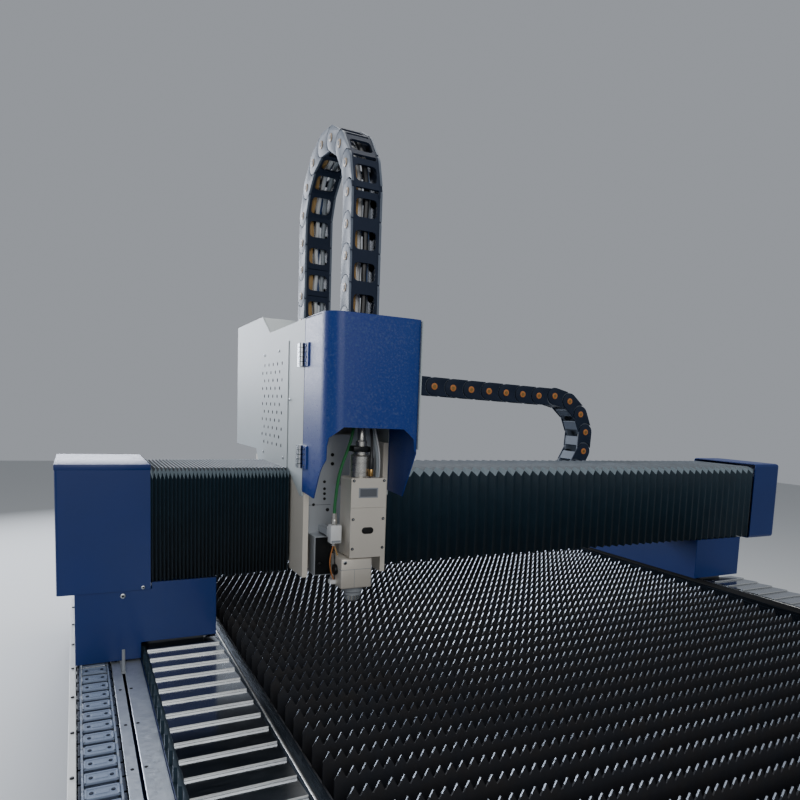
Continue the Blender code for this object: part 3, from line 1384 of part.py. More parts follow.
def main():
    """Builds the machine in an empty scene."""
    for obj in list(bpy.data.objects):
        bpy.data.objects.remove(obj)
    bpy.context.scene.collection.children.link(PARTS)
    bpy.context.scene.collection.children.link(GUIDES)
    build_bed()
    build_slats()
    build_drawer()
    build_end_boxes()
    build_beam()
    build_saddles()
    build_bed_bellows()
    left = (END_BOX_WIDTH + GAP, CARRIAGE_LEFT - SHEET - GAP)
    beam_bellows(left, PLEATS_LEFT, "bellows_beam_left")
    right = (CARRIAGE_RIGHT + SHEET + GAP, OVERALL_WIDTH - END_CAP_WIDTH - GAP)
    beam_bellows(right, PLEATS_RIGHT, "bellows_beam_right")
    build_carriage()
    build_housing()
    build_door()
    build_slide()
    build_head()
    build_chains()
    build_frames()


main()
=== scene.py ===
"""Dresses the open-bed fiber laser cutting machine and lights it.

Metres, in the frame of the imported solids: X along the gantry, Y along the bed to the rear,
Z up. Places on the gantry are given from the end box's left face, the beam's front plane
and the beam's top.
"""

import logging
import math
from dataclasses import dataclass
from enum import Enum
from typing import Callable, Iterable, Sequence

import bmesh
import bpy
from mathutils import Matrix, Vector


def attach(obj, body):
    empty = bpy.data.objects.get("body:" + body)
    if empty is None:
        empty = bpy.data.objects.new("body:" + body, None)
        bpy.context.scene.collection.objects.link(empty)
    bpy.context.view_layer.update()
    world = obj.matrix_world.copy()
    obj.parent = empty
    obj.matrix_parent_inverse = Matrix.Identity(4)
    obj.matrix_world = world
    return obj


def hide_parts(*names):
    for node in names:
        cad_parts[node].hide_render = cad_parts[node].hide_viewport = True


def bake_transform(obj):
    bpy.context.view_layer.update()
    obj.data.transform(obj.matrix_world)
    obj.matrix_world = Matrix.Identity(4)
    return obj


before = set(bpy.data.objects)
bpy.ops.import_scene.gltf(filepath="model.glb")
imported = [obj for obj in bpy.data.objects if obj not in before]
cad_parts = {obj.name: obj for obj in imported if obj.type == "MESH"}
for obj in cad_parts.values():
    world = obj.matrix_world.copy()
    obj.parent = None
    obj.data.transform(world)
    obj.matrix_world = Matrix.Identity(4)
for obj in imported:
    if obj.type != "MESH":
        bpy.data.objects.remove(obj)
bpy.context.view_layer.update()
LOG = logging.getLogger("laser_cutter")

Pair = tuple[float, float]
Span = tuple[float, float]
Triple = tuple[float, float, float]
BMesh = bmesh.types.BMesh
Socket = bpy.types.NodeSocket

GANTRY_LEFT = -1.121
GANTRY_FRONT = -0.785
BEAM_TOP = 1.275
BED_TOP = 0.850
BED_LEFT = -1.1
BED_MIDDLE = -0.009
HINGE_HEIGHTS = {"upper": (0.222, 0.272), "lower": (0.002, 0.052)}

AXES = {"X": Vector((1, 0, 0)), "Y": Vector((0, 1, 0)), "Z": Vector((0, 0, 1))}
TURNS = {
    "X": Matrix.Rotation(math.pi / 2, 4, "Y"),
    "Y": Matrix.Rotation(-math.pi / 2, 4, "X"),
    "Z": Matrix.Identity(4),
}
# Turns of a screw from Z to the side that it faces
TO_TOP = Matrix.Identity(4)
TO_FRONT = Matrix.Rotation(math.pi / 2, 4, "X")
TO_LEFT = Matrix.Rotation(-math.pi / 2, 4, "Y")


def gx(distance: float) -> float:
    """World X of a distance from the end box's left face."""
    return GANTRY_LEFT + distance


def gy(distance: float) -> float:
    """World Y of a distance behind the beam's front plane."""
    return GANTRY_FRONT + distance


def gz(distance: float) -> float:
    """World Z of a height above the beam's top."""
    return BEAM_TOP + distance


def gp(x: float, y: float, z: float) -> Triple:
    """The world place of a point given by the gantry's own distances."""
    return gx(x), gy(y), gz(z)


def span(one: float, other: float) -> Span:
    """Two ends in rising order."""
    return min(one, other), max(one, other)


def srgb(code: str) -> tuple[float, float, float, float]:
    """Turns an sRGB hex colour to linear light.

    Args:
        code: the colour as #rrggbb.

    Returns:
        Its red, green, blue and an alpha of 1.
    """
    parts = [int(code[i:i + 2], 16) / 255 for i in (1, 3, 5)]
    linear = [c / 12.92 if c <= 0.04045 else ((c + 0.055) / 1.055) ** 2.4 for c in parts]
    return linear[0], linear[1], linear[2], 1.0


def add_node(
    tree: bpy.types.NodeTree, kind: str, settings: dict | None = None, links: dict | None = None
) -> bpy.types.Node:
    """Adds a node with its settings and links.

    Args:
        tree: the material's node tree.
        kind: the node's type name.
        settings: attributes by name, or socket values by socket name or number.
        links: source sockets by the name or number of the socket they feed.

    Returns:
        The new node.
    """
    node = tree.nodes.new(kind)
    for key, value in (settings or {}).items():
        if isinstance(key, int) or key in node.inputs:
            node.inputs[key].default_value = value
        else:
            setattr(node, key, value)
    for key, source in (links or {}).items():
        tree.links.new(source, node.inputs[key])
    return node


class Grain(Enum):
    """How a surface was made, as the stretch of its fine pattern along X, Y and Z."""

    SPRAYED = (1.0, 1.0, 1.0)
    BRUSHED_X = (0.03, 1.0, 1.0)
    BRUSHED_Y = (1.0, 0.03, 1.0)
    BRUSHED_Z = (1.0, 1.0, 0.03)


@dataclass(frozen=True)
class Finish:
    """A finish: its two tones, gloss, and a fine pattern in real millimetres."""

    name: str
    colour: str
    shade: str
    roughness: float
    metallic: float = 0.0
    grain: Grain = Grain.SPRAYED
    grain_mm: float = 2.0
    relief_mm: float = 0.02
    cloud_mm: float = 160.0
    cloud: float = 0.35
    speckle: float = 0.0
    coat: float = 0.0
    sheen: float = 0.0
    gloss_spread: float = 0.08
    specular: float = 0.5

    def material(self) -> bpy.types.Material:
        """Builds the finish's material once, shared by all its pieces.

        Returns:
            The material.
        """
        found = bpy.data.materials.get(self.name)
        if found:
            return found
        made = bpy.data.materials.new(self.name)
        made.use_nodes = True
        tree = made.node_tree
        shader = tree.nodes["Principled BSDF"]
        for socket, value in (
            ("Metallic", self.metallic), ("Specular IOR Level", self.specular),
            ("Coat Weight", self.coat), ("Coat Roughness", 0.12), ("Sheen Weight", self.sheen),
        ):
            shader.inputs[socket].default_value = value

        def noise(size_mm: float, detail: float, rough: float, place: Socket) -> Socket:
            """A noise whose largest spots have a real size."""
            look = {"Scale": 1000.0 / size_mm, "Detail": detail, "Roughness": rough}
            return add_node(tree, "ShaderNodeTexNoise", look, {"Vector": place}).outputs["Fac"]

        def ramp(value: Socket, source: Span, target: Span) -> Socket:
            """Maps one range of a value to another."""
            look = dict(zip(("From Min", "From Max", "To Min", "To Max"), source + target))
            return add_node(tree, "ShaderNodeMapRange", look, {"Value": value}).outputs["Result"]

        place = add_node(tree, "ShaderNodeTexCoord").outputs["Object"]
        stretch = {"Scale": self.grain.value}
        laid = add_node(tree, "ShaderNodeMapping", stretch, {"Vector": place}).outputs["Vector"]
        fine = noise(self.grain_mm, 3.0, 0.6, laid)
        cloud = noise(self.cloud_mm, 4.0, 0.65, place)
        colour = add_node(
            tree, "ShaderNodeMix",
            {"data_type": "RGBA", 6: srgb(self.colour), 7: srgb(self.shade)},
            {0: ramp(cloud, (0.35, 0.75), (0.0, self.cloud))},
        ).outputs[2]
        if self.speckle:
            colour = add_node(
                tree, "ShaderNodeMix", {"data_type": "RGBA", 7: srgb(self.shade)},
                {0: ramp(fine, (0.52, 0.72), (0.0, self.speckle)), 6: colour},
            ).outputs[2]
        tree.links.new(colour, shader.inputs["Base Color"])
        low = max(0.02, self.roughness - self.gloss_spread)
        high = min(1.0, self.roughness + self.gloss_spread)
        tree.links.new(ramp(fine, (0.3, 0.7), (low, high)), shader.inputs["Roughness"])
        if self.relief_mm:
            relief = {"Strength": 1.0, "Distance": self.relief_mm / 1000.0}
            bump = add_node(tree, "ShaderNodeBump", relief, {"Height": fine})
            tree.links.new(bump.outputs["Normal"], shader.inputs["Normal"])
        return made


# Sprayed enamel on sheet steel: deep navy with a soft satin gloss and faint orange peel
NAVY_ENAMEL = Finish(
    "navy_enamel", "#082a68", "#082354", 0.42, grain_mm=3.0, relief_mm=0.03, coat=0.04,
    specular=0.38,
)
# Textured powder coat: saturated blue, fine leathery grain, pale speckles as painted highlights
TEXTURED_POWDER_COAT = Finish(
    "textured_powder_coat", "#0f3280", "#47608a", 0.36, grain_mm=4.6, relief_mm=0.20,
    cloud=0.15, speckle=0.5, gloss_spread=0.10, specular=0.4,
)
# Powder coat in pale grey: nearly white sheet metal, matt, very fine texture
PALE_POWDER_COAT = Finish(
    "pale_powder_coat", "#b1b9ba", "#a5adae", 0.46, grain_mm=1.8, relief_mm=0.03
)
# Cream enamel on the carriage's plates: smooth and softly glossy
CREAM_ENAMEL = Finish("cream_enamel", "#d8d2c6", "#c2bbb0", 0.5, grain_mm=2.5)
# White enamel on the trough: satin, clouded by a little dust
WHITE_ENAMEL = Finish(
    "white_enamel", "#dfe2e2", "#c3c6c6", 0.45, grain_mm=2.5, cloud_mm=60.0, cloud=0.5
)
# Grey primer inside the machine and on seams: flat and dull
GREY_PRIMER = Finish("grey_primer", "#8b9096", "#767b81", 0.6, grain_mm=2.0)
# Coated fabric of the folded covers: blue-black with a dull rubber gloss
COATED_CLOTH = Finish(
    "coated_cloth", "#172a36", "#213a48", 0.5, grain_mm=0.9, relief_mm=0.02, sheen=0.03,
    cloud_mm=40.0, specular=0.3,
)
# Nylon lids in the trough, bluish grey: a painted reflection of the light on them
TROUGH_NYLON = Finish(
    "trough_lid_nylon", "#8290a8", "#97a4ba", 0.30, grain_mm=1.5, relief_mm=0.015, cloud_mm=25.0
)
# Nylon side links of the standing chain, bleached to a pale blue grey
WORN_NYLON = Finish(
    "worn_nylon", "#626b78", "#4c5561", 0.5, grain_mm=1.5, relief_mm=0.02, cloud_mm=25.0,
    specular=0.3,
)
# Nylon frames of the standing chain, matt and near black, also painted shade on its recessed lugs
MATT_NYLON = Finish(
    "matt_nylon", "#1a2436", "#222d40", 0.6, grain_mm=1.5, relief_mm=0.02, cloud_mm=30.0,
    specular=0.2,
)
# Painted highlight on the coated cloth: light teal grey on chamfer facets and top-fold bands
FOLD_HIGHLIGHT = Finish(
    "cloth_fold_painted_highlight", "#69767e", "#4c5961", 0.55, grain_mm=1.4, relief_mm=0.03,
    cloud_mm=20.0, specular=0.3,
)
# Painted shade on the flanks of the top folds: black and dull
FOLD_PAINTED_SHADE = Finish(
    "cloth_flank_painted_shade", "#0b151c", "#14222b", 0.85, grain_mm=1.4, relief_mm=0.03,
    cloud_mm=20.0, specular=0.08,
)
# Woven top of the coated cloth, mottled grey and paler than its front
WOVEN_TOP = Finish(
    "mottled_woven_cloth_top", "#2a333b", "#56626b", 0.6, grain_mm=3.2, relief_mm=0.16, speckle=0.8,
    cloud_mm=40.0, sheen=0.1, specular=0.35,
)
# Moulded pin caps: waxy orange and cream dots on the chains
ORANGE_CAP = Finish("orange_pin_cap", "#c0793a", "#94571f", 0.4, grain_mm=1.5, cloud_mm=6.0)
CREAM_CAP = Finish("cream_pin_cap", "#b9a58c", "#94816a", 0.45, grain_mm=1.5, cloud_mm=6.0)
# Rolled stainless sheet: close to a mirror, with fine lengthwise polishing lines
STAINLESS_SHEET = Finish(
    "polished_stainless_sheet", "#a2a8b1", "#6f757f", 0.15, 1.0, Grain.BRUSHED_X, 1.2,
    0.002, 90.0, 0.6, gloss_spread=0.05,
)
# Front lips and edge strips of the same sheet: rougher, and brighter as a painted highlight
STAINLESS_EDGE_HIGHLIGHT = Finish(
    "stainless_edge_painted_highlight", "#e6e6e2", "#cfcfcb", 0.3, 1.0, Grain.BRUSHED_X, 1.0, 0.01
)
# Laser-cut mild steel with mill scale and soot: near black
SOOTED_STEEL = Finish(
    "sooted_mild_steel", "#33363d", "#3d3833", 0.5, 0.4, Grain.SPRAYED, 4.0, 0.03, 70.0, 0.6
)
# Freshly cut edge of the slats: bright bare metal with fine cutting lines across it
CUT_EDGE = Finish(
    "fresh_cut_edge", "#aab1bb", "#868e99", 0.38, 1.0, Grain.BRUSHED_Y, 1.5, 0.02, 30.0, 0.4
)
# Hot-dip galvanised sheet: bluish grey with soft crystal clouds
GALVANISED_SHEET = Finish(
    "galvanised_sheet", "#d2dae4", "#b6c0cd", 0.36, 0.7, Grain.SPRAYED, 9.0, 0.01, 18.0, 0.8,
)
# Cold-rolled sheet with an oil film: dark, with soft reflections
OILED_SHEET = Finish(
    "oiled_cold_rolled_sheet", "#4b5561", "#3a434e", 0.24, 0.9, Grain.BRUSHED_Y, 3.0, 0.002,
    120.0, 0.6,
)
# Rubber of the wiper lips: black and dull
RUBBER = Finish("rubber_wiper", "#0b0c0e", "#121316", 0.7, grain_mm=2.0)
# Ground bearing steel: pale, with fine lengthwise grinding lines
GROUND_STEEL = Finish(
    "ground_bearing_steel", "#a9adb2", "#8d9298", 0.26, 1.0, Grain.BRUSHED_Y, 0.8, 0.006
)
# Milled plate behind the head: dull grey with upright tool marks
MILLED_PLATE = Finish(
    "milled_tool_plate", "#b4b9bf", "#969ca3", 0.44, 0.6, Grain.BRUSHED_Z, 1.4, 0.02
)
# Zinc-plated screws: small bright glints
ZINC_PLATE = Finish("zinc_plated_screw", "#c3c8cc", "#989ea4", 0.28, 1.0, grain_mm=1.0)
# Black oxide screws, knobs and motors: dark with a low sheen
BLACK_OXIDE = Finish("black_oxide_screw", "#15171a", "#26292d", 0.35, 0.6, grain_mm=1.0)
# Anodised aluminium, bead blasted: a warm champagne tone without sharp reflections
ANODISED = Finish(
    "champagne_anodised_aluminium", "#d9d3c8", "#c8c1b5", 0.40, 0.45, Grain.SPRAYED, 0.9, 0.01
)
# Turned aluminium of the optics barrel: silver with fine rings
TURNED_ALUMINIUM = Finish(
    "turned_aluminium", "#c2c0bb", "#a6a39d", 0.28, 0.9, Grain.BRUSHED_X, 0.9, 0.015
)
# Turned brass fittings: small warm gold glints
BRASS = Finish("turned_brass", "#b08d57", "#8c6c3e", 0.3, 1.0, grain_mm=1.0)
# Smoked glass over the head's display: dark grey and glossy
SMOKED_GLASS = Finish(
    "smoked_display_glass", "#5b5f66", "#4b4f55", 0.12, grain_mm=6.0, relief_mm=0.0, coat=0.5
)
# Unlit depth of holes and seams: black, without gloss
DARK_HOLE = Finish("dark_recess", "#050608", "#08090b", 0.8, grain_mm=2.0, relief_mm=0.0)
# White moulded housing of the sensor box: smooth satin plastic
WHITE_BOX = Finish("white_sensor_housing", "#d9dbdc", "#c2c5c7", 0.4, grain_mm=1.2)
# Cable jackets: smooth vinyl with a soft gloss, each in its own colour
BLACK_JACKET = Finish("black_cable_jacket", "#16181b", "#25282c", 0.42, grain_mm=1.0)
GREEN_JACKET = Finish("green_cable_jacket", "#1f6d3c", "#17552e", 0.4, grain_mm=1.0)
TAN_JACKET = Finish("tan_hose_jacket", "#b08c55", "#94723f", 0.5, grain_mm=1.5)
WHITE_JACKET = Finish("white_cable_jacket", "#cfd2d4", "#b2b6b9", 0.4, grain_mm=1.0)
BLUE_JACKET = Finish("blue_cable_jacket", "#3d5f9c", "#2f4c80", 0.4, grain_mm=1.0)
ORANGE_JACKET = Finish("orange_wire_jacket", "#b4733c", "#8d5526", 0.4, grain_mm=1.0)
GREY_JACKET = Finish("grey_cable_jacket", "#8a9299", "#727a81", 0.4, grain_mm=1.0)

# A screw's finish and its socket's; a bright screw's black socket is painted shade
BRIGHT_SCREW = (ZINC_PLATE, BLACK_OXIDE)
DARK_SCREW = (BLACK_OXIDE, BLACK_OXIDE)
PANEL_SCREW = (BLACK_OXIDE, ZINC_PLATE)


def laid_out(axis: str, u: float, v: float, w: float) -> Vector:
    """A point of a flat outline, u and v in its plane and w along its axis."""
    return Vector({"X": (w, u, v), "Y": (u, w, v), "Z": (u, v, w)}[axis])


def stadium(half: float, radius: float, steps: int = 6) -> list[Pair]:
    """The outline of a slot with round ends.

    Args:
        half: half the distance between the round ends' centres.
        radius: the round ends' radius.
        steps: the segments of each end.

    Returns:
        The outline's points in order.
    """
    points = []
    for side in (1, -1):
        for i in range(steps + 1):
            angle = -math.pi / 2 + math.pi * i / steps
            across = side * (half + radius * math.cos(angle))
            points.append((across, side * radius * math.sin(angle)))
    return points


def rounded(points: Sequence[Sequence[float]], times: int = 2) -> list[Vector]:
    """Rounds a route's corners by cutting them, so that a cable bends softly.

    Args:
        points: the route's points.
        times: how often the corners are cut.

    Returns:
        The softer route.
    """
    route = [Vector(p) for p in points]
    for _ in range(times):
        fresh = [route[0]]
        for a, b in zip(route, route[1:]):
            fresh += [a.lerp(b, 0.25), a.lerp(b, 0.75)]
        route = fresh + [route[-1]]
    return route


def soften(
    part: BMesh, geom: list, width: float, segments: int = 2, affect: str = "EDGES",
    clamp: bool = True,
) -> None:
    """Bevels a part's edges or corners.

    Args:
        part: the part.
        geom: its edges or vertices to bevel.
        width: the bevel's offset.
        segments: its segments.
        affect: EDGES or VERTICES.
        clamp: whether neighbouring bevels are kept apart.
    """
    bmesh.ops.bevel(
        part, geom=geom, offset=width, affect=affect, segments=segments, profile=0.5,
        material=-1, clamp_overlap=clamp,
    )


def thicken(part: BMesh, way: Sequence[float]) -> None:
    """Extrudes a flat sheet's faces along a vector.

    Args:
        part: the sheet.
        way: the vector.
    """
    made = bmesh.ops.extrude_face_region(part, geom=part.faces[:])
    moved = [item for item in made["geom"] if isinstance(item, bmesh.types.BMVert)]
    bmesh.ops.translate(part, verts=moved, vec=way)
    bmesh.ops.recalc_face_normals(part, faces=part.faces)


def next_row(part: BMesh, edges: list) -> tuple[list, list]:
    """Extrudes a row of edges.

    Args:
        part: the mesh they are in.
        edges: the row's edges.

    Returns:
        The new row's vertices and its edges.
    """
    made = bmesh.ops.extrude_edge_only(part, edges=edges)["geom"]
    verts = [item for item in made if isinstance(item, bmesh.types.BMVert)]
    lines = [item for item in made if isinstance(item, bmesh.types.BMEdge)]
    return verts, [edge for edge in lines if all(v in verts for v in edge.verts)]


class Shape:
    """A mesh made part by part with bmesh operators."""

    def __init__(self) -> None:
        """Starts with an empty mesh."""
        self.bm = bmesh.new()
        self.shares: list[float] = []

    def take(self, part: BMesh, slot: int, turn: Matrix | None = None) -> None:
        """Adds a part, which is used up.

        Args:
            part: the part.
            slot: the number of its finish, or -1 to keep the faces' own.
            turn: a last transform of the part.
        """
        if turn is not None:
            bmesh.ops.transform(part, matrix=turn, verts=part.verts)
        if slot >= 0:
            for face in part.faces:
                face.material_index = slot
        mesh = bpy.data.meshes.new("part")
        part.to_mesh(mesh)
        part.free()
        self.bm.from_mesh(mesh)
        bpy.data.meshes.remove(mesh)

    def box(
        self, x: Span, y: Span, z: Span, edge: float = 0.0, rounds: int = 1, slot: int = 0,
        turn: Matrix | None = None,
    ) -> None:
        """Adds a block.

        Args:
            x, y, z: its spans.
            edge, rounds: the width and the segments of its rounded edges.
            slot: the number of its finish.
            turn: a last transform.
        """
        part = bmesh.new()
        size = [high - low for low, high in (x, y, z)]
        middle = [(low + high) / 2 for low, high in (x, y, z)]
        place = Matrix.Translation(middle) @ Matrix.Diagonal((*size, 1.0))
        bmesh.ops.create_cube(part, size=1.0, matrix=place)
        if edge:
            soften(part, part.edges[:], edge, rounds)
        self.take(part, slot, turn)

    def block(
        self, x: Span, y: Span, z: Span, edge: float = 0.0, rounds: int = 1, slot: int = 0
    ) -> None:
        """Adds a block like box, with spans in the gantry's own distances."""
        spans = ((gx(x[0]), gx(x[1])), (gy(y[0]), gy(y[1])), (gz(z[0]), gz(z[1])))
        self.box(*spans, edge, rounds, slot)

    def rod(
        self, centre: Sequence[float], radius: float, length: float, axis: str = "Z",
        sides: int = 16, tip: float | None = None, edge: float = 0.0, slot: int = 0,
    ) -> None:
        """Adds a round bar or cone about its middle.

        Args:
            centre: its middle.
            radius, length: its size.
            axis: the axis it runs along.
            sides: how many flats stand for the circle.
            tip: its radius at the high end, the same if left out.
            edge: the rounding of its end edges.
            slot: the number of its finish.
        """
        part = bmesh.new()
        bmesh.ops.create_cone(
            part, cap_ends=True, segments=sides, radius1=radius,
            radius2=radius if tip is None else tip, depth=length,
            matrix=Matrix.Translation(centre) @ TURNS[axis],
        )
        if edge:
            rims = [e for e in part.edges if any(len(f.verts) > 4 for f in e.link_faces)]
            soften(part, rims, edge)
        self.take(part, slot)

    def plate(
        self, points: Sequence[Pair], axis: str, reach: Span, edge: float = 0.0, slot: int = 0,
        rim: int | None = None,
    ) -> None:
        """Adds a flat outline extruded along an axis.

        Args:
            points: the outline, (y, z) for X, (x, z) for Y and (x, y) for Z.
            axis, reach: the axis of its thickness, and where it starts and ends there.
            edge: the rounding of its outline's edges.
            slot: the number of its finish.
            rim: another finish for the faces of its thickness.
        """
        part = bmesh.new()
        part.faces.new([part.verts.new(laid_out(axis, u, v, reach[0])) for u, v in points])
        thicken(part, AXES[axis] * (reach[1] - reach[0]))
        caps = [face for face in part.faces if abs(face.normal.dot(AXES[axis])) >= 0.5]
        for face in part.faces:
            face.material_index = slot if rim is None or face in caps else rim
        if edge:
            soften(part, list({e for face in caps for e in face.edges}), edge)
        self.take(part, -1)

    def turned(self, profile: Sequence[Pair], centre: Sequence[float], steps: int = 28) -> None:
        """Adds a profile spun about Z.

        Args:
            profile: its (radius, height) points, which start and end on the axis.
            centre: where the axis stands and the heights start.
            steps: the segments of the turn.
        """
        part = bmesh.new()
        verts = [part.verts.new((radius, 0.0, height)) for radius, height in profile]
        edges = [part.edges.new(pair) for pair in zip(verts, verts[1:])]
        bmesh.ops.spin(
            part, geom=verts + edges, cent=(0, 0, 0), axis=(0, 0, 1), angle=2 * math.pi,
            steps=steps, use_merge=True,
        )
        bmesh.ops.remove_doubles(part, verts=part.verts, dist=0.00001)
        bmesh.ops.recalc_face_normals(part, faces=part.faces)
        self.take(part, 0, Matrix.Translation(centre))

    def tube(
        self, points: Sequence[Sequence[float]], radius: float, sides: int = 8, slot: int = 0
    ) -> None:
        """Adds a round cable along a route, with closed ends.

        Args:
            points: the route's points.
            radius, sides: the cable's radius, and how many flats stand for its circle.
            slot: the number of its finish.
        """
        route = [Vector(p) for p in points]
        part = bmesh.new()
        heading = (route[1] - route[0]).normalized()
        start = heading.to_track_quat("Z", "Y").to_matrix().to_4x4()
        made = bmesh.ops.create_circle(
            part, cap_ends=False, segments=sides, radius=radius,
            matrix=Matrix.Translation(route[0]) @ start,
        )
        ring = list({e for v in made["verts"] for e in v.link_edges})
        for i in range(1, len(route)):
            after = route[min(i + 1, len(route) - 1)]
            fresh = (after - route[i - 1]).normalized()
            bend = heading.rotation_difference(fresh).to_matrix().to_4x4()
            verts, ring = next_row(part, ring)
            place = Matrix.Translation(route[i]) @ bend @ Matrix.Translation(-route[i - 1])
            bmesh.ops.transform(part, matrix=place, verts=verts)
            heading = fresh
        bmesh.ops.holes_fill(part, edges=part.edges)
        bmesh.ops.recalc_face_normals(part, faces=part.faces)
        self.take(part, slot)

    def pleats(
        self,
        sections: Sequence[tuple[float, Sequence[Pair]]],
        paint: Callable[[Vector, Vector], int],
    ) -> None:
        """Adds a folded sheet drawn along X through sections of equal point counts.

        Args:
            sections: each fold's X and its (y, z) points.
            paint: gives a face's finish from its middle and its normal.
        """
        part = bmesh.new()
        x, profile = sections[0]
        row = [part.verts.new((x, y, z)) for y, z in profile]
        edges = [part.edges.new(pair) for pair in zip(row, row[1:])]
        order = {vert: i for i, vert in enumerate(row)}
        for x, profile in sections[1:]:
            known = {tuple(round(c, 7) for c in v.co): i for v, i in order.items()}
            verts, edges = next_row(part, edges)
            order = {v: known[tuple(round(c, 7) for c in v.co)] for v in verts}
            for vert, i in order.items():
                vert.co = (x, *profile[i])
        bmesh.ops.recalc_face_normals(part, faces=part.faces)
        for face in part.faces:
            face.material_index = paint(face.calc_center_median(), face.normal)
        self.take(part, -1)

    def stamp(
        self, mesh: bpy.types.Mesh, place: Matrix, share: Callable[[Vector], float] | None = None
    ) -> None:
        """Adds a copy of a finished mesh at a place.

        Args:
            mesh: the mesh to copy.
            place: its transform.
            share: gives a point's share of the second body's motion, from its own place.
        """
        if share:
            self.shares += [share(v.co) for v in mesh.vertices]
        mesh.transform(place)
        self.bm.from_mesh(mesh)
        mesh.transform(place.inverted())

    def mesh(self, name: str) -> bpy.types.Mesh:
        """Finishes the mesh, which uses the shape up.

        Args:
            name: the mesh's name.

        Returns:
            The mesh.
        """
        made = bpy.data.meshes.new(name)
        self.bm.to_mesh(made)
        self.bm.free()
        return made

    def piece(
        self, name: str, body: str, slot: str, finishes: Sequence[Finish],
        replaces: Iterable[str] = (), soft: float = 32.0,
    ) -> bpy.types.Object:
        """Makes the shape a piece of the machine that rides on a body.

        Args:
            name: the piece's name.
            body: the body it rides on, or an empty text for none.
            slot: the record's material slot; not used.
            finishes: its finishes, in the order of their numbers.
            replaces: the solids that it stands for.
            soft: edges sharper than this, in degrees, stay sharp.

        Returns:
            The new object.
        """
        made = self.mesh(name)
        obj = bpy.data.objects.new(name, made)
        bpy.context.scene.collection.objects.link(obj)
        for finish in finishes:
            made.materials.append(finish.material())
        made.shade_smooth()
        made.set_sharp_from_angle(angle=math.radians(soft))
        if body:
            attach(obj, body)
        if replaces:
            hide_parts(*replaces)
        LOG.info("%s: %d faces", name, len(made.polygons))
        return obj


def bend_evenly(
    piece: bpy.types.Object, first: str, second: str, start: Vector, end: Vector
) -> None:
    """Bakes a folded cover's transform into its mesh.

    Args:
        piece: the cover.
        first: the body that holds its start; not used.
        second: the body that holds its end; not used.
        start: the place of its start; not used.
        end: the place of its end; not used.
    """
    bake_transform(piece)


def bend_along(
    piece: bpy.types.Object, first: str, second: str, shares: Sequence[float]
) -> None:
    """Bakes a drag chain's or a cable's transform into its mesh.

    Args:
        piece: the chain or a cable in it.
        first: the body that holds the share 0 end; not used.
        second: the body that holds the share 1 end; not used.
        shares: each vertex's share of the second body's motion.
    """
    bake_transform(piece)
    list(shares)


def screw_head(radius: float, height: float) -> bpy.types.Mesh:
    """A cap screw that stands along Z on the XY plane.

    Args:
        radius, height: the size of its head.

    Returns:
        The screw, its socket in finish 1.
    """
    shape = Shape()
    shape.rod((0, 0, height / 2), radius, height, sides=14, edge=height * 0.25)
    shape.rod((0, 0, height), radius * 0.52, height * 0.08, sides=6, slot=1)
    return shape.mesh("screw")


def set_screws(
    name: str, body: str, slot: str, places: Iterable[Triple], facing: Matrix, radius: float,
    height: float, finishes: Sequence[Finish] = BRIGHT_SCREW,
) -> None:
    """Sets one kind of screw at many places.

    Args:
        name, body, slot: the piece's name, its body and the record's material slot.
        places: where each screw's seat is.
        facing: turns Z to the screws' outward direction.
        radius, height: the size of their heads.
        finishes: their finish and their sockets'.
    """
    head = screw_head(radius, height)
    shape = Shape()
    for place in places:
        shape.stamp(head, Matrix.Translation(place) @ facing)
    shape.piece(name, body, slot, finishes)


@dataclass
class SlatTable:
    """The sawtooth slats and the combs that hold their ends."""

    left: float = -0.7493
    length: float = 1.480
    front: float = -1.965
    spacing: float = 0.0545
    count: int = 57
    tip: float = 0.875
    bottom: float = 0.775
    thickness: float = 0.003
    teeth: int = 74
    tooth_height: float = 0.0158
    comb_height: Span = (0.7483, 0.824)
    comb_thickness: float = 0.006
    comb_overhang: Span = (0.02, 0.004)
    comb_overlap: Span = (0.0037, 0.0023)
    bright: float = 0.58
    tip_flat: float = 0.03
    flank: float = 0.43

    def slat(self) -> bpy.types.Mesh:
        """One slat: dark faces, bright cut flanks, a small flat on each tip.

        Returns:
            The slat, with finish 1 on its rim above the worn line.
        """
        pitch = self.length / self.teeth
        valley = self.tip - self.tooth_height
        worn = self.tip - self.tooth_height * self.bright
        reach = self.tip_flat + self.flank * self.bright
        right = self.left + self.length
        tooth = (
            (0.5 + reach, worn), (0.5 + self.tip_flat, self.tip),
            (0.5 - self.tip_flat, self.tip), (0.5 - reach, worn),
        )
        foot = 0.5 - self.tip_flat - self.flank
        gap = ((foot, valley), (-foot, valley))
        points = [(self.left, self.bottom), (right, self.bottom), (right, valley)]
        for i in reversed(range(self.teeth)):
            x = self.left + i * pitch
            points += [(x + pitch * share, z) for share, z in (tooth + gap if i else tooth)]
        points.append((self.left, valley))
        shape = Shape()
        shape.plate(points, "Y", (0.0, self.thickness), rim=1)
        for face in shape.bm.faces:
            if face.calc_center_median().z < worn:
                face.material_index = 0
        return shape.mesh("slat")

    def build(self) -> None:
        """Stands the slats in their combs."""
        shape = Shape()
        slat = self.slat()
        for i in range(self.count):
            shape.stamp(slat, Matrix.Translation((0, self.front + i * self.spacing, 0)))
        rear = self.front + (self.count - 1) * self.spacing
        run = (self.front - self.comb_overhang[0], rear + self.comb_overhang[1])
        right = self.left + self.length
        for x in (self.left - self.comb_overlap[0], right - self.comb_overlap[1]):
            shape.box((x, x + self.comb_thickness), run, self.comb_height, 0.0008)
        finishes = (SOOTED_STEEL, CUT_EDGE)
        shape.piece("slat_rows", "bed", "slat_steel", finishes, ("slat_table",), 20.0)


